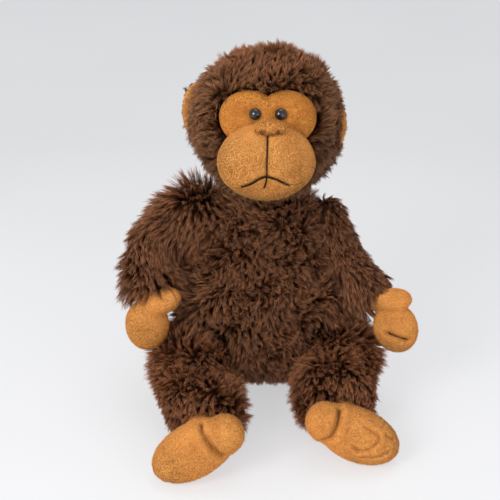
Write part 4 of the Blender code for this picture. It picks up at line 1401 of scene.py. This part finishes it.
# ---------------------------------------------------------------- hidden pieces
def batting(node, body, look="batting", slot="stuffing"):
    """A wad of loose filling: the CAD shape with a ragged surface, kept inside its own space. Where
    it lies against a joint or behind the face it is covered with the fur's ground cloth."""
    item = finer_copy(node, "_wad", 2, 1)
    points, _, normals = surface_of(item)
    dip = 0.45 * MM * (1 + wander(points, 2.5, SEED + 31)[:, 0].clip(-1, 1))
    move_points(item, points - normals * dip[:, None])
    cover = np.zeros(len(points))
    for joint, reach in JOINT_COVER.items():
        far = away(points, joint_anchor(joint)) / MM
        cover = np.maximum(cover, 1 - smooth_step(far, reach, reach + 3))
    if node == "head_filling":
        cover = np.maximum(cover, smooth_step(-in_head(points)[:, 1], 0, 8))
    set_shade(item, cover)
    return dress(item, look, body, slot, node)


def hidden_pieces():
    for node, thing in NODES.items():
        body = thing["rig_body"]
        if node.endswith("_filling"):
            batting(node, body)
        elif node == "seat_pellet_bag":
            batting(node, body, "pellets", "pellet_bag")
        elif node.endswith("_washer"):
            thing.data.materials.clear()
            thing.data.materials.append(LOOKS["washer"])


def closing_seam():
    """The hand-sewn seam down the back, drawn from the CAD thread's own points."""
    points = cad_surface("closing_seam_thread")[0]
    heights = np.linspace(points[:, 2].min(), points[:, 2].max(), 14)
    line = []
    for low, high in zip(heights, heights[1:]):
        row = points[(points[:, 2] >= low - 4 * MM) & (points[:, 2] <= high + 4 * MM)]
        line.append(row.mean(axis=0) if len(row) else None)
    line = [p for p in line if p is not None]
    twisted_thread("closing_seam", line, 0.6, "torso", "closing_seam_thread")


# ---------------------------------------------------------------- studio
def area_light(name, where, size, power, colour):
    data = bpy.data.lights.new(name, "AREA")
    data.shape = "DISK"
    data.size, data.energy, data.color = size, power, colour
    lamp = linked(name, data)
    lamp.location = where
    way = (CAD_LOW + CAD_HIGH) / 2 - Vector(where)
    lamp.rotation_euler = way.to_track_quat("-Z", "Y").to_euler()


def studio():
    scene = bpy.context.scene
    scene.view_settings.view_transform = "Standard"
    corners = np.array([(-1.0, -1.0, 0), (1, -1, 0), (1, 1, 0), (-1, 1, 0)]) * FLOOR_HALF
    floor = mesh_object("floor", corners, np.array([(0, 1, 2, 3)]))
    made, tree, shader = new_material("pale_floor", 0.75)
    speck = noise(tree, 3.0, 1.0)
    paper = ramp(tree, speck, ((0.3, (0.30, 0.302, 0.306)), (0.7, (0.32, 0.322, 0.326))))
    tree.links.new(paper, shader.inputs["Base Color"])
    shader.inputs["Emission Color"].default_value = (1.0, 1.0, 1.01, 1.0)
    place = add(tree, "SeparateXYZ", Vector=add(tree, "TexCoord").outputs["Object"]).outputs["Y"]
    ends = dict(zip(("From_Min", "From_Max", "To_Min", "To_Max"), (*FLOOR_FADE, *FLOOR_GLOW)))
    fade = add(tree, "MapRange", Value=place, **ends)
    tree.links.new(fade.outputs["Result"], shader.inputs["Emission Strength"])
    floor.data.materials.append(made)

    world = bpy.data.worlds.new("studio")
    world.use_nodes = True
    sky = world.node_tree.nodes["Background"]
    sky.inputs["Color"].default_value = SKY_COLOUR
    sky.inputs["Strength"].default_value = SKY_STRENGTH
    scene.world = world
    for lamp in LAMPS:
        area_light(*lamp)


def camera():
    middle = (CAD_LOW + CAD_HIGH) / 2
    target = Vector((middle.x + CAMERA_ASIDE * MM, 0.0, CAMERA_HEIGHT * MM))
    way = Vector((0, math.cos(CAMERA_DOWN), -math.sin(CAMERA_DOWN)))
    data = bpy.data.cameras.new("camera")
    data.lens = CAMERA_LENS
    data.sensor_width = CAMERA_SENSOR
    data.clip_start, data.clip_end = 0.01, 50.0
    item = linked("camera", data)
    item.location = target - way * (CAMERA_FAR * MM)
    item.rotation_euler = way.to_track_quat("-Z", "Y").to_euler()
    bpy.context.scene.camera = item


def build():
    head_fur()
    body_fur()
    hull = hull_tree("torso_shell")
    for limb in LIMB_FUR:
        limb_fur(*limb.split("_"), hull)
    for side in ("left", "right"):
        ear_fur(side)
        ear_lining(side)
        hand(side)
        foot(side)
    brow()
    nose()
    eyes()
    face_threads(muzzle())
    closing_seam()
    hidden_pieces()
    studio()
    camera()


build()
